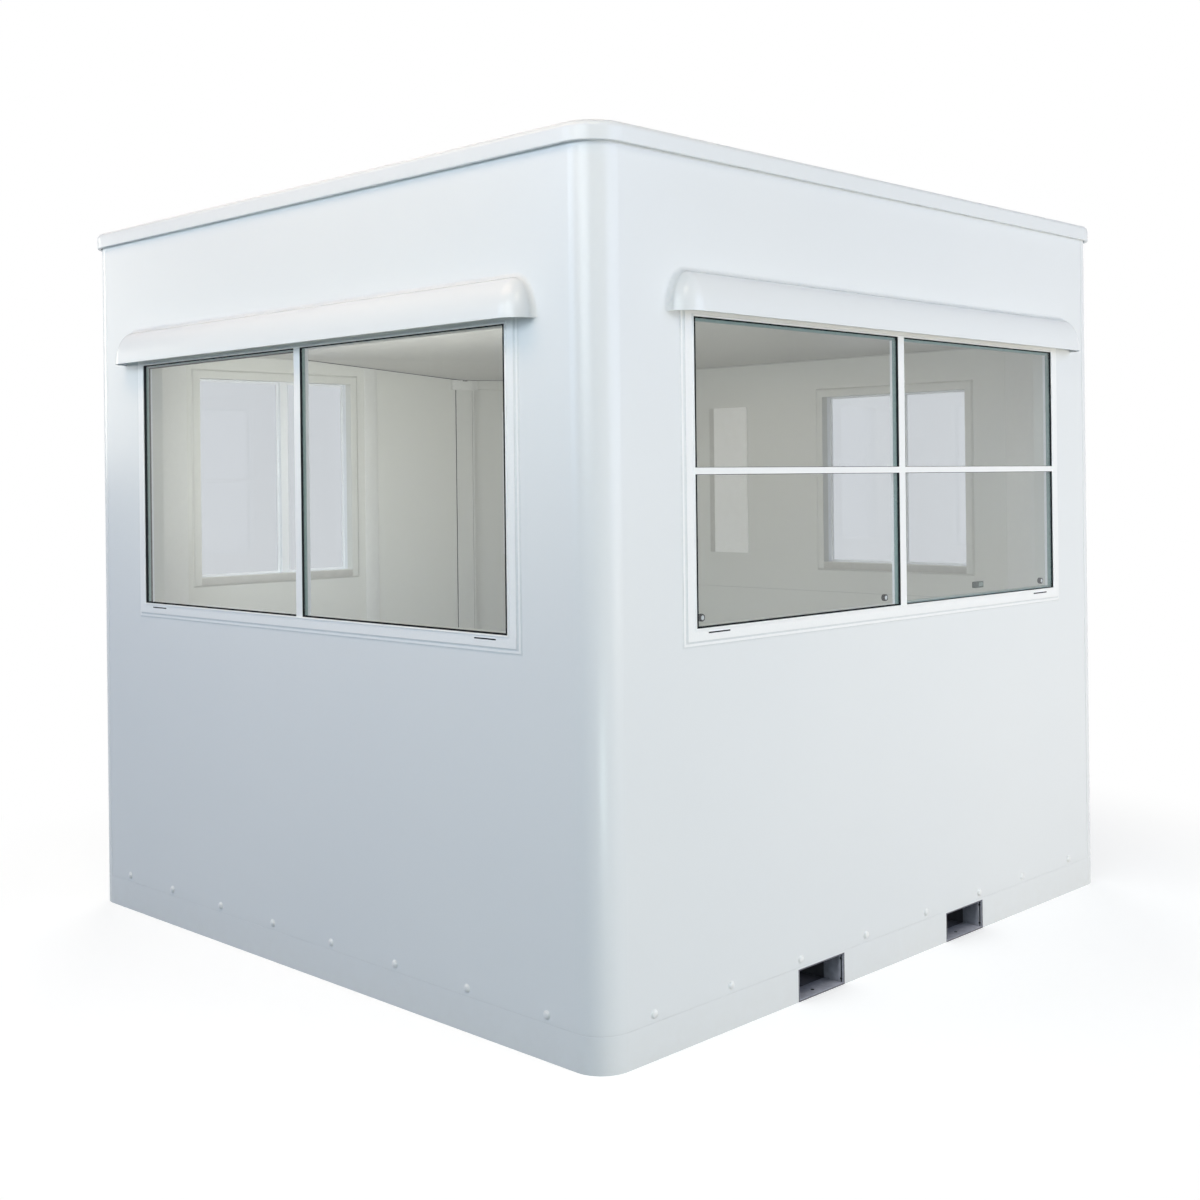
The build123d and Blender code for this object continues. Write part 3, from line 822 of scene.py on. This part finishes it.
def makeSashButtons():
    # rubber stay buttons behind the lower sheets of the right window, each with a pale plug
    b = sashButtons
    near, far = windows["right"][0][:2]
    spots = (near["along"][0] + b["nearEnd"], near["along"][1] - b["farEnd"], far["along"][1] - b["farEnd"])
    body, plug = bmesh.new(), bmesh.new()
    r, d, f = b["radius"], b["depth"], b["face"]
    for along in spots:
        centre = onWall("right", along, near["up"][0] + b["aboveSill"], near["out"][0])
        turn(body, centre, walls["right"]["out"], [
            (r * 0.8, -d), (r * 0.95, -d + 1 * mm), (r, -d * 0.7), (r, -3 * mm), (r * 0.93, -1.4 * mm),
            (f + 0.6 * mm, -1.2 * mm), (f, -2 * mm),
        ])
        turn(plug, centre, walls["right"]["out"], [
            (f, -2.4 * mm), (f, -1.2 * mm), (f * 0.8, -0.6 * mm), (f * 0.4, -0.4 * mm), (0, -0.35 * mm),
        ])
    addPiece("sash_buttons", body, "rubber")
    addPiece("sash_button_plugs", plug, "bead")


makeSashButtons()

sashLatch = {
    "length": 54 * mm, "height": 22 * mm, "depth": 15 * mm,
    "aboveSill": 27 * mm, "fromMiddle": -21 * mm,  # of the sheet
    # thumb pad: from the catch's middle, and its margins at the end, bottom and top
    "padFrom": -4 * mm, "padEnd": 5 * mm, "padLow": 5 * mm, "padHigh": 4 * mm,
}


def makeSashLatch():
    # sliding-sash catch behind the far lower sheet: a dark body with a paler thumb pad
    c = sashLatch
    sheet = windows["right"][0][1]
    middle = sum(sheet["along"]) / 2 + c["fromMiddle"]
    base = sheet["up"][0] + c["aboveSill"]
    back = sheet["out"][0]
    low, high = middle - c["length"] / 2, middle + c["length"] / 2
    body, pad = bmesh.new(), bmesh.new()
    easedBlock(
        body, "right", (low, high), (base, base + c["height"]), (back - c["depth"], back - 1.2 * mm), 2 * mm
    )
    easedBlock(
        pad, "right", (middle + c["padFrom"], high - c["padEnd"]),
        (base + c["padLow"], base + c["height"] - c["padHigh"]), (back - 1.6 * mm, back - 0.4 * mm), 0.5 * mm,
    )
    addPiece("sash_latch_body", body, "latch")
    addPiece("sash_latch_pad", pad, "latchPad")


makeSashLatch()
print("slots, buttons and latch made")

coves = {"radius": 14 * mm, "topFlat": 6 * mm, "steps": 9}  # soft sealant cove round each canopy


def makeCanopyCove(side):
    # follows the canopy's outline on the wall: a quarter ellipse up, along the top, and down
    box = wallBox(side, side + "_canopy")
    low, high = box["along"]
    bottom, top = box["up"]
    c = coves
    wide, tall = box["out"][1] - c["topFlat"], top - bottom
    rise = []
    for i in range(c["steps"] + 1):
        t = math.pi / 2 * i / c["steps"]
        away = Vector((-math.cos(t) / wide, math.sin(t) / tall)).normalized()
        rise.append((wide * (1 - math.cos(t)), bottom + tall * math.sin(t), away))
    path = [(low + x, z, away) for x, z, away in rise]
    path += [(high - x, z, Vector((-away.x, away.y))) for x, z, away in reversed(rise)]
    r = c["radius"]
    angles = [math.radians(d) for d in range(15, 90, 15)]
    hollow = [(r * (1 - math.sin(a)), r * (1 - math.cos(a))) for a in angles]
    section = [(-0.5 * mm, 0), (r, 0)] + hollow + [(0, r), (-0.5 * mm, r)]
    bm = bmesh.new()
    skinLoops(bm, [
        [bm.verts.new(onWall(side, x + away.x * n, z + away.y * n, out)) for n, out in section]
        for x, z, away in path
    ], closed=False)
    addPiece(side + "_canopy_cove", bm, "whiteSealant", smoothAngle=60)


for side in walls:
    makeCanopyCove(side)

skirtJoint = {
    "radius": 95 * mm, "steps": 10,  # rounding of the booth's corners
    "inset": 0.2 * mm, "depth": 1.8 * mm, "height": 2.4 * mm,
}


def makeSkirtJoint():
    # sealant laid in the joint between the walls and the skirt, right round the booth
    j = skirtJoint
    joint = wallBox("front", "front_wall")["up"][0]
    halfX, halfY = walls["right"]["face"], walls["back"]["face"]
    outline = []
    for quarter, (sx, sy) in enumerate(((1, -1), (1, 1), (-1, 1), (-1, -1))):
        centre = Vector((sx * (halfX - j["radius"]), sy * (halfY - j["radius"]), joint))
        for i in range(j["steps"] + 1):
            a = math.radians(-90 + 90 * quarter + 90 * i / j["steps"])
            outline.append((centre, Vector((math.cos(a), math.sin(a), 0))))
    near, far = j["radius"] - j["inset"], j["radius"] - j["inset"] - j["depth"]
    half = j["height"] / 2
    section = [(near, -half), (near, half), (far, half), (far, -half)]
    bm = bmesh.new()
    skinLoops(bm, [
        [bm.verts.new(centre + away * r + Vector((0, 0, up))) for r, up in section]
        for centre, away in outline
    ])
    addPiece("skirt_joint_sealant", bm, "skirtSealant")


makeSkirtJoint()
print("canopy coves and skirt joint made")

forkPockets = {
    "wall": 4 * mm,  # steel of the tube
    "lightDepth": 76 * mm, "lightSheetThick": 1.5 * mm,  # pale sheets on the floor and sides, painted light, and how deep in
    "flange": 16 * mm, "flangeThick": 3 * mm, "fromMouth": 12 * mm,  # folded strip up each side
    "seal": (6 * mm, 10 * mm), "sealThick": 2 * mm,  # dark joint beside the strip
    "screw": 4 * mm, "screwRise": 2.5 * mm, "screwHeights": (0.14, 0.84),  # shares of the height
    "hole": 6 * mm, "holeAcross": 0.47, "holeIn": 0.42,  # drain hole, shares of the floor sheet
}


def dressPocketMouth(side, box, sheets, joints, screws):
    # pale sheets as painted light, with a drain hole in the lowest, and up each side a strip, a joint and
    # screws
    p = forkPockets
    low, high = box["along"][0] + p["wall"], box["along"][1] - p["wall"]
    bottom, top = box["up"][0] + p["wall"], box["up"][1] - p["wall"]
    floor = bottom + p["lightSheetThick"]
    inside = (-p["lightDepth"], -0.5 * mm)
    strip = (-p["fromMouth"] - p["flange"], -p["fromMouth"])
    joint = (-p["seal"][1], -p["seal"][0])
    easedBlock(sheets, side, (low, high), (bottom, floor), inside, 0.3 * mm)
    for edge, inward in ((low, 1), (high, -1)):
        for bm, thick, reach, eased in (
            (sheets, p["lightSheetThick"], inside, 0.3 * mm),
            (sheets, p["lightSheetThick"] + p["flangeThick"], strip, 0.5 * mm),
            (joints, p["sealThick"], joint, 0.3 * mm),
        ):
            easedBlock(bm, side, sorted((edge, edge + inward * thick)), (bottom, top), reach, eased)
        for share in p["screwHeights"]:
            up = bottom + share * (top - bottom)
            centre = onWall(side, edge + inward * p["sealThick"], up, sum(joint) / 2)
            turn(screws, centre, walls[side]["along"] * inward, [
                (p["screw"], -0.3 * mm), (p["screw"], p["screwRise"] * 0.6),
                (p["screw"] * 0.7, p["screwRise"]), (0, p["screwRise"]),
            ], steps=12)
    hole = onWall(side, low + p["holeAcross"] * (high - low), floor, -p["lightDepth"] * p["holeIn"])
    turn(joints, hole, Vector((0, 0, 1)), [(p["hole"], -0.3 * mm), (p["hole"], 0.3 * mm), (0, 0.3 * mm)])


def makePocketFittings():
    # both fork pockets run through, so each has a mouth on the right and on the left
    sheets, joints, screws = bmesh.new(), bmesh.new(), bmesh.new()
    for side in ("right", "left"):
        for node in ("fork_pocket_front", "fork_pocket_rear"):
            dressPocketMouth(side, wallBox(side, node), sheets, joints, screws)
    addPiece("fork_pocket_mouth_painted_light", sheets, "mouthLightSheet")
    addPiece("fork_pocket_joints", joints, "rubber")
    addPiece("fork_pocket_screws", screws, "darkSteel")


makePocketFittings()
print("fork pocket fittings made")

ceilingLining = {
    # hangs from the ceiling over the door: places along the left wall, and its drop at each
    "drops": ((446 * mm, 0), (-402 * mm, 54 * mm), (-688 * mm, 43 * mm), (-1270 * mm, 0)),
    "edge": 8 * mm, "slope": 10,  # reach into the room: an edge, and ten times the drop
    "joint": 1.4 * mm, "jointDeep": 8.5 * mm,  # dark line under its foot
}
liningUnder = ceilingUnder - max(drop for _, drop in ceilingLining["drops"])


def makeCeilingLining():
    # shallow lining with a sloping underside, and the dark joint where it meets the wall
    c = ceilingLining
    inner = walls["left"]["inner"]
    lining, joint = bmesh.new(), bmesh.new()
    liningLoops, jointLoops = [], []
    for along, drop in c["drops"]:
        low, top = ceilingUnder - drop, ceilingUnder + 0.5 * mm
        under, deep = low - c["joint"], inner - c["jointDeep"]
        liningLoops.append([
            lining.verts.new(onWall("left", along, up, out))
            for up, out in ((top, inner), (low, inner), (top, inner - c["edge"] - drop * c["slope"]))
        ])
        jointLoops.append([
            joint.verts.new(onWall("left", along, up, out))
            for up, out in ((under, inner), (under, deep), (low, deep), (low, inner))
        ])
    skinLoops(lining, liningLoops, closed=False)
    skinLoops(joint, jointLoops, closed=False)
    addPiece("room_head_board", lining, "ceilingBoard")
    addPiece("room_head_joint", joint, "rubber")


makeCeilingLining()

room = {
    "corner": 30 * mm,  # rounding of the room's corners
    # trim boards by the corners: how wide at the low and high end of each wall, 0 for none
    "boards": {
        "front": (195 * mm, 195 * mm), "right": (195 * mm, 195 * mm),
        "back": (255 * mm, 255 * mm), "left": (0, 255 * mm),
    },
    "boardThick": 2 * mm,
    "jointStrip": (80 * mm, 149 * mm),  # flat cover over a joint of the left wall
    "skirtingHigh": 60 * mm, "skirtingThick": 8 * mm, "skirtingGap": 20 * mm,  # beside the door
    "ceilingBead": 5 * mm, "dadoHeight": 1065 * mm, "dado": 3 * mm,  # lines of sealant
}


def roomEnd(side):
    # from the middle of a wall's inner face to where the rounding of the room's corner starts
    beside = walls["right" if side in ("front", "back") else "back"]
    return beside["face"] + beside["inner"] - room["corner"]


def makeRoomTrims():
    # boards, a joint strip, skirting, and sealant under the ceiling and along the back wall
    r = room
    boards, skirting, bead = bmesh.new(), bmesh.new(), bmesh.new()
    up = (floorTop + r["skirtingHigh"], ceilingUnder - r["ceilingBead"])
    for side, wall in walls.items():
        inner, end = wall["inner"], roomEnd(side)
        lowWide, highWide = r["boards"][side]
        strips = [(-end, -end + lowWide), (end - highWide, end)]
        runs = [(-end, end)]
        if side == "left":
            door = wallBox("left", "door_frame")["along"]
            strips.append(r["jointStrip"])
            runs = [(-end, door[0] - r["skirtingGap"]), (door[1] + r["skirtingGap"], end)]
        for low, high in strips:
            if high > low:
                easedBlock(boards, side, (low, high), up, (inner - r["boardThick"], inner), 0.6 * mm)
        for low, high in runs:
            if high - low > r["skirtingGap"]:
                easedBlock(
                    skirting, side, (low, high), (floorTop, floorTop + r["skirtingHigh"]),
                    (inner - r["skirtingThick"], inner), 2 * mm,
                )
        easedBlock(
            bead, side, (-end, end), (ceilingUnder - r["ceilingBead"], ceilingUnder),
            (inner - r["ceilingBead"], inner), 1.5 * mm,
        )
    inner = walls["back"]["inner"]
    half = roomEnd("back") - r["boards"]["back"][0]
    easedBlock(
        bead, "back", (-half, half), (r["dadoHeight"] - r["dado"] / 2, r["dadoHeight"] + r["dado"] / 2),
        (inner - 0.8 * mm, inner + 0.5 * mm), 0.3 * mm,
    )
    addPiece("room_trim_boards", boards, "trimBoard")
    addPiece("room_skirting", skirting, "trimBoard")
    addPiece("room_joint_sealant", bead, "roomSealant")


makeRoomTrims()

coverPlate = {
    "strip": 31 * mm,  # darker strip on its far side, painted shade for the plate's side shadow
    "screwIn": 18 * mm, "screw": 4 * mm, "screwRise": 1.5 * mm, "screwThick": 0.6 * mm,
}


def makeCoverPlateTrims():
    # a darker strip beside the plate on the back wall, painted shade for its side shadow, and a screw in each
    # of its corners
    c = coverPlate
    plate = wallBox("back", "wall_cover_plate")
    inner = walls["back"]["inner"]
    low, high = plate["along"]
    strip, screws = bmesh.new(), bmesh.new()
    easedBlock(
        strip, "back", (high, high + c["strip"]), plate["up"], (inner - room["boardThick"], inner), 0.6 * mm
    )
    profile = domeProfile(c["screw"], c["screwRise"], c["screw"] * 1.2, c["screwThick"])
    for along in (low + c["screwIn"], high - c["screwIn"]):
        for up in (plate["up"][0] + c["screwIn"], plate["up"][1] - c["screwIn"]):
            turn(screws, onWall("back", along, up, plate["out"][0]), -walls["back"]["out"], profile)
    addPiece("cover_plate_painted_shade", strip, "shadeBoard")
    addPiece("cover_plate_screws", screws, "plateBoard")


makeCoverPlateTrims()
print("room trims made")

doorLeaf = wallBox("left", "door_leaf")
doorFrame = wallBox("left", "door_frame")
doorGlass = wallBox("left", "door_glass")
doorSeal = {"gap": 2.4 * mm, "depth": (8 * mm, 16 * mm)}  # from the leaf, and behind its face


def makeDoorSeal():
    # rubber weather seal in the gap between leaf and jamb
    near, far = (doorLeaf["out"][1] - depth for depth in doorSeal["depth"])
    seal = bmesh.new()
    sweepRing(seal, "left", doorLeaf, [doorSeal["gap"]] * 4, [
        (-0.05, near), (-1, near), (-1, far), (-0.05, far),
    ])
    addPiece("door_weather_seal", seal, "rubber")


doorBeads = {"bead": 11 * mm, "gasket": 3 * mm}


def makeDoorBeads():
    # a sloping bead and a rubber line round both faces of the vision glass
    b = doorBeads
    beads, gasket = bmesh.new(), bmesh.new()
    inset = grownBox(doorGlass, -b["bead"])
    for pane, face, way in (
        (doorGlass["out"][1], doorLeaf["out"][1], 1), (doorGlass["out"][0], doorLeaf["out"][0], -1),
    ):
        sweepRing(beads, "left", doorGlass, [b["bead"]] * 4, [
            (0, pane + way * 0.3 * mm), (1, pane + way * 0.3 * mm), (1, pane + way * 6 * mm),
            (0.25, face + way * 1.5 * mm), (-0.2, face + way * 1.5 * mm), (-0.2, face), (0, face),
        ])
        sweepRing(gasket, "left", inset, [b["gasket"]] * 4, [
            (0, pane + way * 0.2 * mm), (1, pane + way * 0.2 * mm), (0, pane + way * 2 * mm),
        ])
    addPiece("door_glass_beads", beads, "bead")
    addPiece("door_glass_gasket", gasket, "rubber")


keyPlates = {
    "fromEnd": 26 * mm, "below": 88 * mm,  # from the lever's end, and under its middle
    "radius": 24 * mm, "rise": 3 * mm, "flange": 26 * mm, "thick": 4 * mm,
    "hole": 4 * mm, "slot": (2 * mm, 12 * mm),  # keyhole: its round top, half width and drop of its slot
}


def makeKeyPlates():
    # a domed plate with a keyhole on both faces of the leaf
    k = keyPlates
    lever = wallBox("left", "door_lever_outside")
    along, up = lever["along"][0] + k["fromEnd"], sum(lever["up"]) / 2 - k["below"]
    top = k["thick"] + k["rise"] + 0.2 * mm
    half, drop = k["slot"]
    plates, holes = bmesh.new(), bmesh.new()
    for face, way in ((doorLeaf["out"][1], 1), (doorLeaf["out"][0], -1)):
        centre = onWall("left", along, up, face)
        axis = walls["left"]["out"] * way
        turn(plates, centre, axis, domeProfile(k["radius"], k["rise"], k["flange"], k["thick"]), steps=32)
        turn(holes, centre + Vector((0, 0, k["hole"])), axis, [(k["hole"], 0), (k["hole"], top), (0, top)])
        easedBlock(
            holes, "left", (along - half, along + half), (up - drop, up + k["hole"]),
            sorted((face, face + way * top)), 0.3 * mm,
        )
    addPiece("door_key_plates", plates, "satinSteel")
    addPiece("door_key_holes", holes, "rubber")


hingeCaps = {"radius": 3.6 * mm, "rise": 2.5 * mm, "thick": 1 * mm}


def makeHingeCaps():
    # at both ends of each hinge knuckle
    c = hingeCaps
    profile = domeProfile(c["radius"] * 0.85, c["rise"], c["radius"], c["thick"])
    caps = bmesh.new()
    for knuckle in solidsOf("left", "door_hinges"):
        out = knuckle["out"][0] + c["radius"] + 0.4 * mm
        for up, way in ((knuckle["up"][1], 1), (knuckle["up"][0], -1)):
            centre = onWall("left", sum(knuckle["along"]) / 2, up, out)
            turn(caps, centre, Vector((0, 0, way)), profile, steps=16)
    addPiece("door_hinge_caps", caps, "satinSteel")


thresholdRibs = {"count": 4, "pitch": 12 * mm, "high": 1.2 * mm, "wide": 4 * mm, "in": 6 * mm}


def makeThresholdRibs():
    # tread ribs along the threshold, from near its outer edge inwards
    t = thresholdRibs
    threshold = wallBox("left", "door_threshold")
    top = threshold["up"][1]
    along = (threshold["along"][0] + 2 * mm, threshold["along"][1] - 2 * mm)
    ribs = bmesh.new()
    for i in range(t["count"]):
        out = doorLeaf["out"][1] - t["in"] - i * t["pitch"]
        easedBlock(ribs, "left", along, (top - 0.3 * mm, top + t["high"]), (out - t["wide"], out), 0.5 * mm)
    addPiece("door_threshold_ribs", ribs, "millAluminium")


innerDoorFrame = {
    # slotted covers at the head of both uprights, "in" from the frame's ends to their middle
    "cover": {"wide": 150 * mm, "high": 45 * mm, "thick": 8 * mm, "in": 47 * mm},
    "slot": (13 * mm, 4 * mm),  # half width and height
    "upright": 94 * mm, "line": 0.8 * mm, "below": 600 * mm,  # gasket lines, to under the glass
}


def makeInnerDoorFrame():
    # head covers, and a gasket line down both edges of each upright
    d = innerDoorFrame
    c = d["cover"]
    half, high = d["slot"]
    face, wall = doorFrame["out"][0], walls["left"]["inner"]
    up = (doorGlass["up"][0] - d["below"], liningUnder - c["high"])
    covers, lines = bmesh.new(), bmesh.new()
    for end, way in ((doorFrame["along"][0], 1), (doorFrame["along"][1], -1)):
        middle = end + way * c["in"]
        easedBlock(
            covers, "left", (middle - c["wide"] / 2, middle + c["wide"] / 2),
            (liningUnder - c["high"], liningUnder), (face - c["thick"], face), 2 * mm,
        )
        for near, far, out in (
            (-d["line"], 0, (face + 0.5 * mm, wall)),
            (d["upright"] - d["line"], d["upright"], (face - 0.6 * mm, face)),
        ):
            easedBlock(lines, "left", sorted((end + way * near, end + way * far)), up, out, 0.2 * mm)
        front = face - c["thick"]
        easedBlock(
            lines, "left", (middle - half, middle + half), (liningUnder - high, liningUnder),
            (front - 0.4 * mm, front + 1 * mm), 0.2 * mm,
        )
    addPiece("door_head_caps", covers, "trimBoard")
    addPiece("door_inner_gasket", lines, "rubber")


makeDoorSeal()
makeDoorBeads()
makeKeyPlates()
makeHingeCaps()
makeThresholdRibs()
makeInnerDoorFrame()
print("door fittings made")

cameraView = {
    "place": (4.2272, -4.1882, 1.5637), "turn": (90.057, 0.672, 43.559),  # degrees
    "lens": 46.67, "sensor": 36.0, "shift": (-0.0381, -0.1018),
}
cameraData = bpy.data.cameras.new("camera")
cameraData.lens = cameraView["lens"]
cameraData.sensor_width = cameraView["sensor"]
cameraData.shift_x, cameraData.shift_y = cameraView["shift"]
cameraObject = bpy.data.objects.new("camera", cameraData)
cameraObject.location = cameraView["place"]
cameraObject.rotation_euler = [math.radians(a) for a in cameraView["turn"]]
bpy.context.scene.collection.objects.link(cameraObject)
bpy.context.scene.camera = cameraObject


def seenRays(tree):
    # 1 for the rays that see a thing: straight, mirrored or through glass
    path = addNode(tree, "ShaderNodeLightPath")
    seen = addNode(
        tree, "ShaderNodeMath", {"operation": "MAXIMUM"},
        {0: path.outputs["Is Camera Ray"], 1: path.outputs["Is Glossy Ray"]},
    )
    return addNode(
        tree, "ShaderNodeMath", {"operation": "MAXIMUM"},
        {0: seen.outputs[0], 1: path.outputs["Is Transmission Ray"]},
    ).outputs[0]


# sky light from the upper part only: its share grows from "from" to "to" of straight up
studio = {"sky": "e4edf8", "skyStrength": 0.1, "from": 0.2, "to": 0.9}


def makeWorld():
    # white to the eye, and a cool light that comes from above only
    world = bpy.data.worlds.new("studio")
    bpy.context.scene.world = world
    world.use_nodes = True
    tree = world.node_tree
    tree.nodes.clear()
    direction = addNode(tree, "ShaderNodeTexCoord").outputs["Generated"]
    up = addNode(tree, "ShaderNodeSeparateXYZ", {}, {"Vector": direction}).outputs["Z"]
    strength = addNode(
        tree, "ShaderNodeMapRange",
        {
            "From Min": studio["from"], "From Max": studio["to"],
            "To Min": 0.0, "To Max": studio["skyStrength"],
        },
        {"Value": up},
    )
    light = addNode(
        tree, "ShaderNodeBackground", {"Color": hexToLinear(studio["sky"])},
        {"Strength": strength.outputs["Result"]},
    )
    white = addNode(tree, "ShaderNodeBackground", {"Color": (1, 1, 1, 1), "Strength": 1.0})
    mix = addNode(
        tree, "ShaderNodeMixShader", {}, {0: seenRays(tree), 1: light.outputs[0], 2: white.outputs[0]}
    )
    addNode(tree, "ShaderNodeOutputWorld", {}, {"Surface": mix.outputs[0]})


makeWorld()

# area lamps: size in metres, power in watts; hidden ones leave no patch in the glass
lamps = {
    "rightFill": {
        "place": (7.5, 1.5, 3.2), "aim": (1.35, 0.3, 1.2), "size": (6, 4), "power": 197, "tint": "d5e4ff",
    },
    "rightLow": {
        "place": (6.5, 1.5, 0.9), "aim": (1.35, 0.5, 0.8), "size": (4, 1.6), "power": 171, "tint": "fff5e1",
        "hidden": True,
    },
    "frontTop": {
        "place": (0, -3.0, 4.4), "aim": (0, -1.35, 2.3), "size": (3, 1), "power": 38, "tint": "ffdcc0",
    },
    "frontUpper": {
        "place": (-0.3, -5.5, 3.6), "aim": (-0.3, -1.35, 2.3), "size": (4, 1), "power": 37, "tint": "f6fafc",
    },
    "frontRise": {
        "place": (0, -3.6, 0.3), "aim": (0, -1.35, 2.12), "size": (2.6, 0.3), "power": 1.0, "tint": "f4ffe4",
        "spread": 40,
    },
    "frontFar": {
        "place": (-2.4, -6.8, 3.0), "aim": (-0.5, -1.35, 1.3), "size": (3, 3), "power": 74, "tint": "b6daff",
    },
    "cornerFill": {
        "place": (2.6, -6.5, 3.4), "aim": (0.9, -1.35, 1.3), "size": (3, 3), "power": 117, "tint": "eef8ff",
    },
    "cornerSide": {
        "place": (3.4, -3.0, 4.6), "aim": (1.3, -1.3, 1.8), "size": (1, 1), "power": 27, "tint": "fff5df",
    },
    "leftSide": {
        "place": (-5, -2.5, 2.4), "aim": (-1.35, -0.5, 1.6), "size": (1.5, 1.5), "power": 25,
        "tint": "fffaec",
    },
    "pocketLow": {
        "place": (3.6, -2.8, 0.25), "aim": (1.35, 0, 0.05), "size": (1, 0.3), "power": 7, "tint": "e9fffa",
    },
    "rearFill": {
        "place": (-6.5, 5.5, 4.5), "aim": (0, 0, 1.2), "size": (6, 4), "power": 400, "tint": "ffffff",
    },
    "roomDown": {
        "place": (0.15, 0.3, 2.03), "aim": (0.15, 0.301, 0), "size": (1.6, 1.6), "power": 2.3,
        "tint": "ffecdc", "hidden": True,
    },
    "roomBack": {
        "place": (0, -1.2, 1.6), "aim": (0, 0, 1.6), "size": (1.8, 0.8), "power": 19, "tint": "fffefa",
        "hidden": True,
    },
}


def hangLamp(name, lamp):
    # lights the booth and mirrors in its coat, but is not seen itself
    data = bpy.data.lights.new(name, "AREA")
    data.shape = "RECTANGLE"
    data.size, data.size_y = lamp["size"]
    data.energy = lamp["power"]
    data.color = hexToLinear(lamp["tint"])[:3]
    data.spread = math.radians(lamp.get("spread", 180))
    light = bpy.data.objects.new(name, data)
    light.location = lamp["place"]
    beam = Vector(lamp["aim"]) - Vector(lamp["place"])
    light.rotation_euler = beam.to_track_quat("-Z", "Y").to_euler()
    light.visible_camera = False
    light.visible_transmission = False
    light.visible_glossy = not lamp.get("hidden", False)
    bpy.context.scene.collection.objects.link(light)


for name, lamp in lamps.items():
    hangLamp(name, lamp)

floor = {
    "size": 60.0, "colour": "cfcfce", "dim": "7e848b",
    "nearLift": 0.55, "nearReach": 1.8, "farReach": 3.2,  # metres from the middle
}


def makeFloor():
    # pale studio floor: plain white further off, soft shadow round the booth, and a middle grey
    # to the light that bounces off it
    bm = bmesh.new()
    bmesh.ops.create_grid(bm, x_segments=12, y_segments=12, size=floor["size"] / 2)
    mesh = bpy.data.meshes.new("studio_floor")
    bm.to_mesh(mesh)
    bm.free()
    piece = bpy.data.objects.new("studio_floor", mesh)
    bpy.context.scene.collection.objects.link(piece)
    material, tree, shader, _ = startMaterial(
        "studio_floor_paint", {"Roughness": 1.0, "Specular IOR Level": 0.0, "Emission Color": (1, 1, 1, 1)}
    )
    seen = seenRays(tree)
    place = addNode(tree, "ShaderNodeNewGeometry").outputs["Position"]
    distance = addNode(tree, "ShaderNodeVectorMath", {"operation": "LENGTH"}, {0: place})
    away = addNode(
        tree, "ShaderNodeMapRange",
        {"interpolation_type": "SMOOTHSTEP", "From Min": floor["nearReach"], "From Max": floor["farReach"]},
        {"Value": distance.outputs["Value"]},
    ).outputs["Result"]
    fade = addNode(
        tree, "ShaderNodeMix",
        {"data_type": "RGBA", 6: hexToLinear(floor["colour"]), 7: (0, 0, 0, 1)}, {0: away},
    )
    tone = addNode(
        tree, "ShaderNodeMix", {"data_type": "RGBA", 6: hexToLinear(floor["dim"])},
        {0: seen, 7: fade.outputs[2]},
    )
    connect(tree, tone.outputs[2], shader.inputs["Base Color"])
    glow = addNode(
        tree, "ShaderNodeMapRange", {"To Min": floor["nearLift"], "To Max": 1.0}, {"Value": away}
    )
    lift = addNode(tree, "ShaderNodeMath", {"operation": "MULTIPLY"}, {0: seen, 1: glow.outputs["Result"]})
    connect(tree, lift.outputs[0], shader.inputs["Emission Strength"])
    mesh.materials.append(material)


makeFloor()
bpy.context.scene.view_settings.view_transform = "Standard"
print("camera, lamps and floor set")
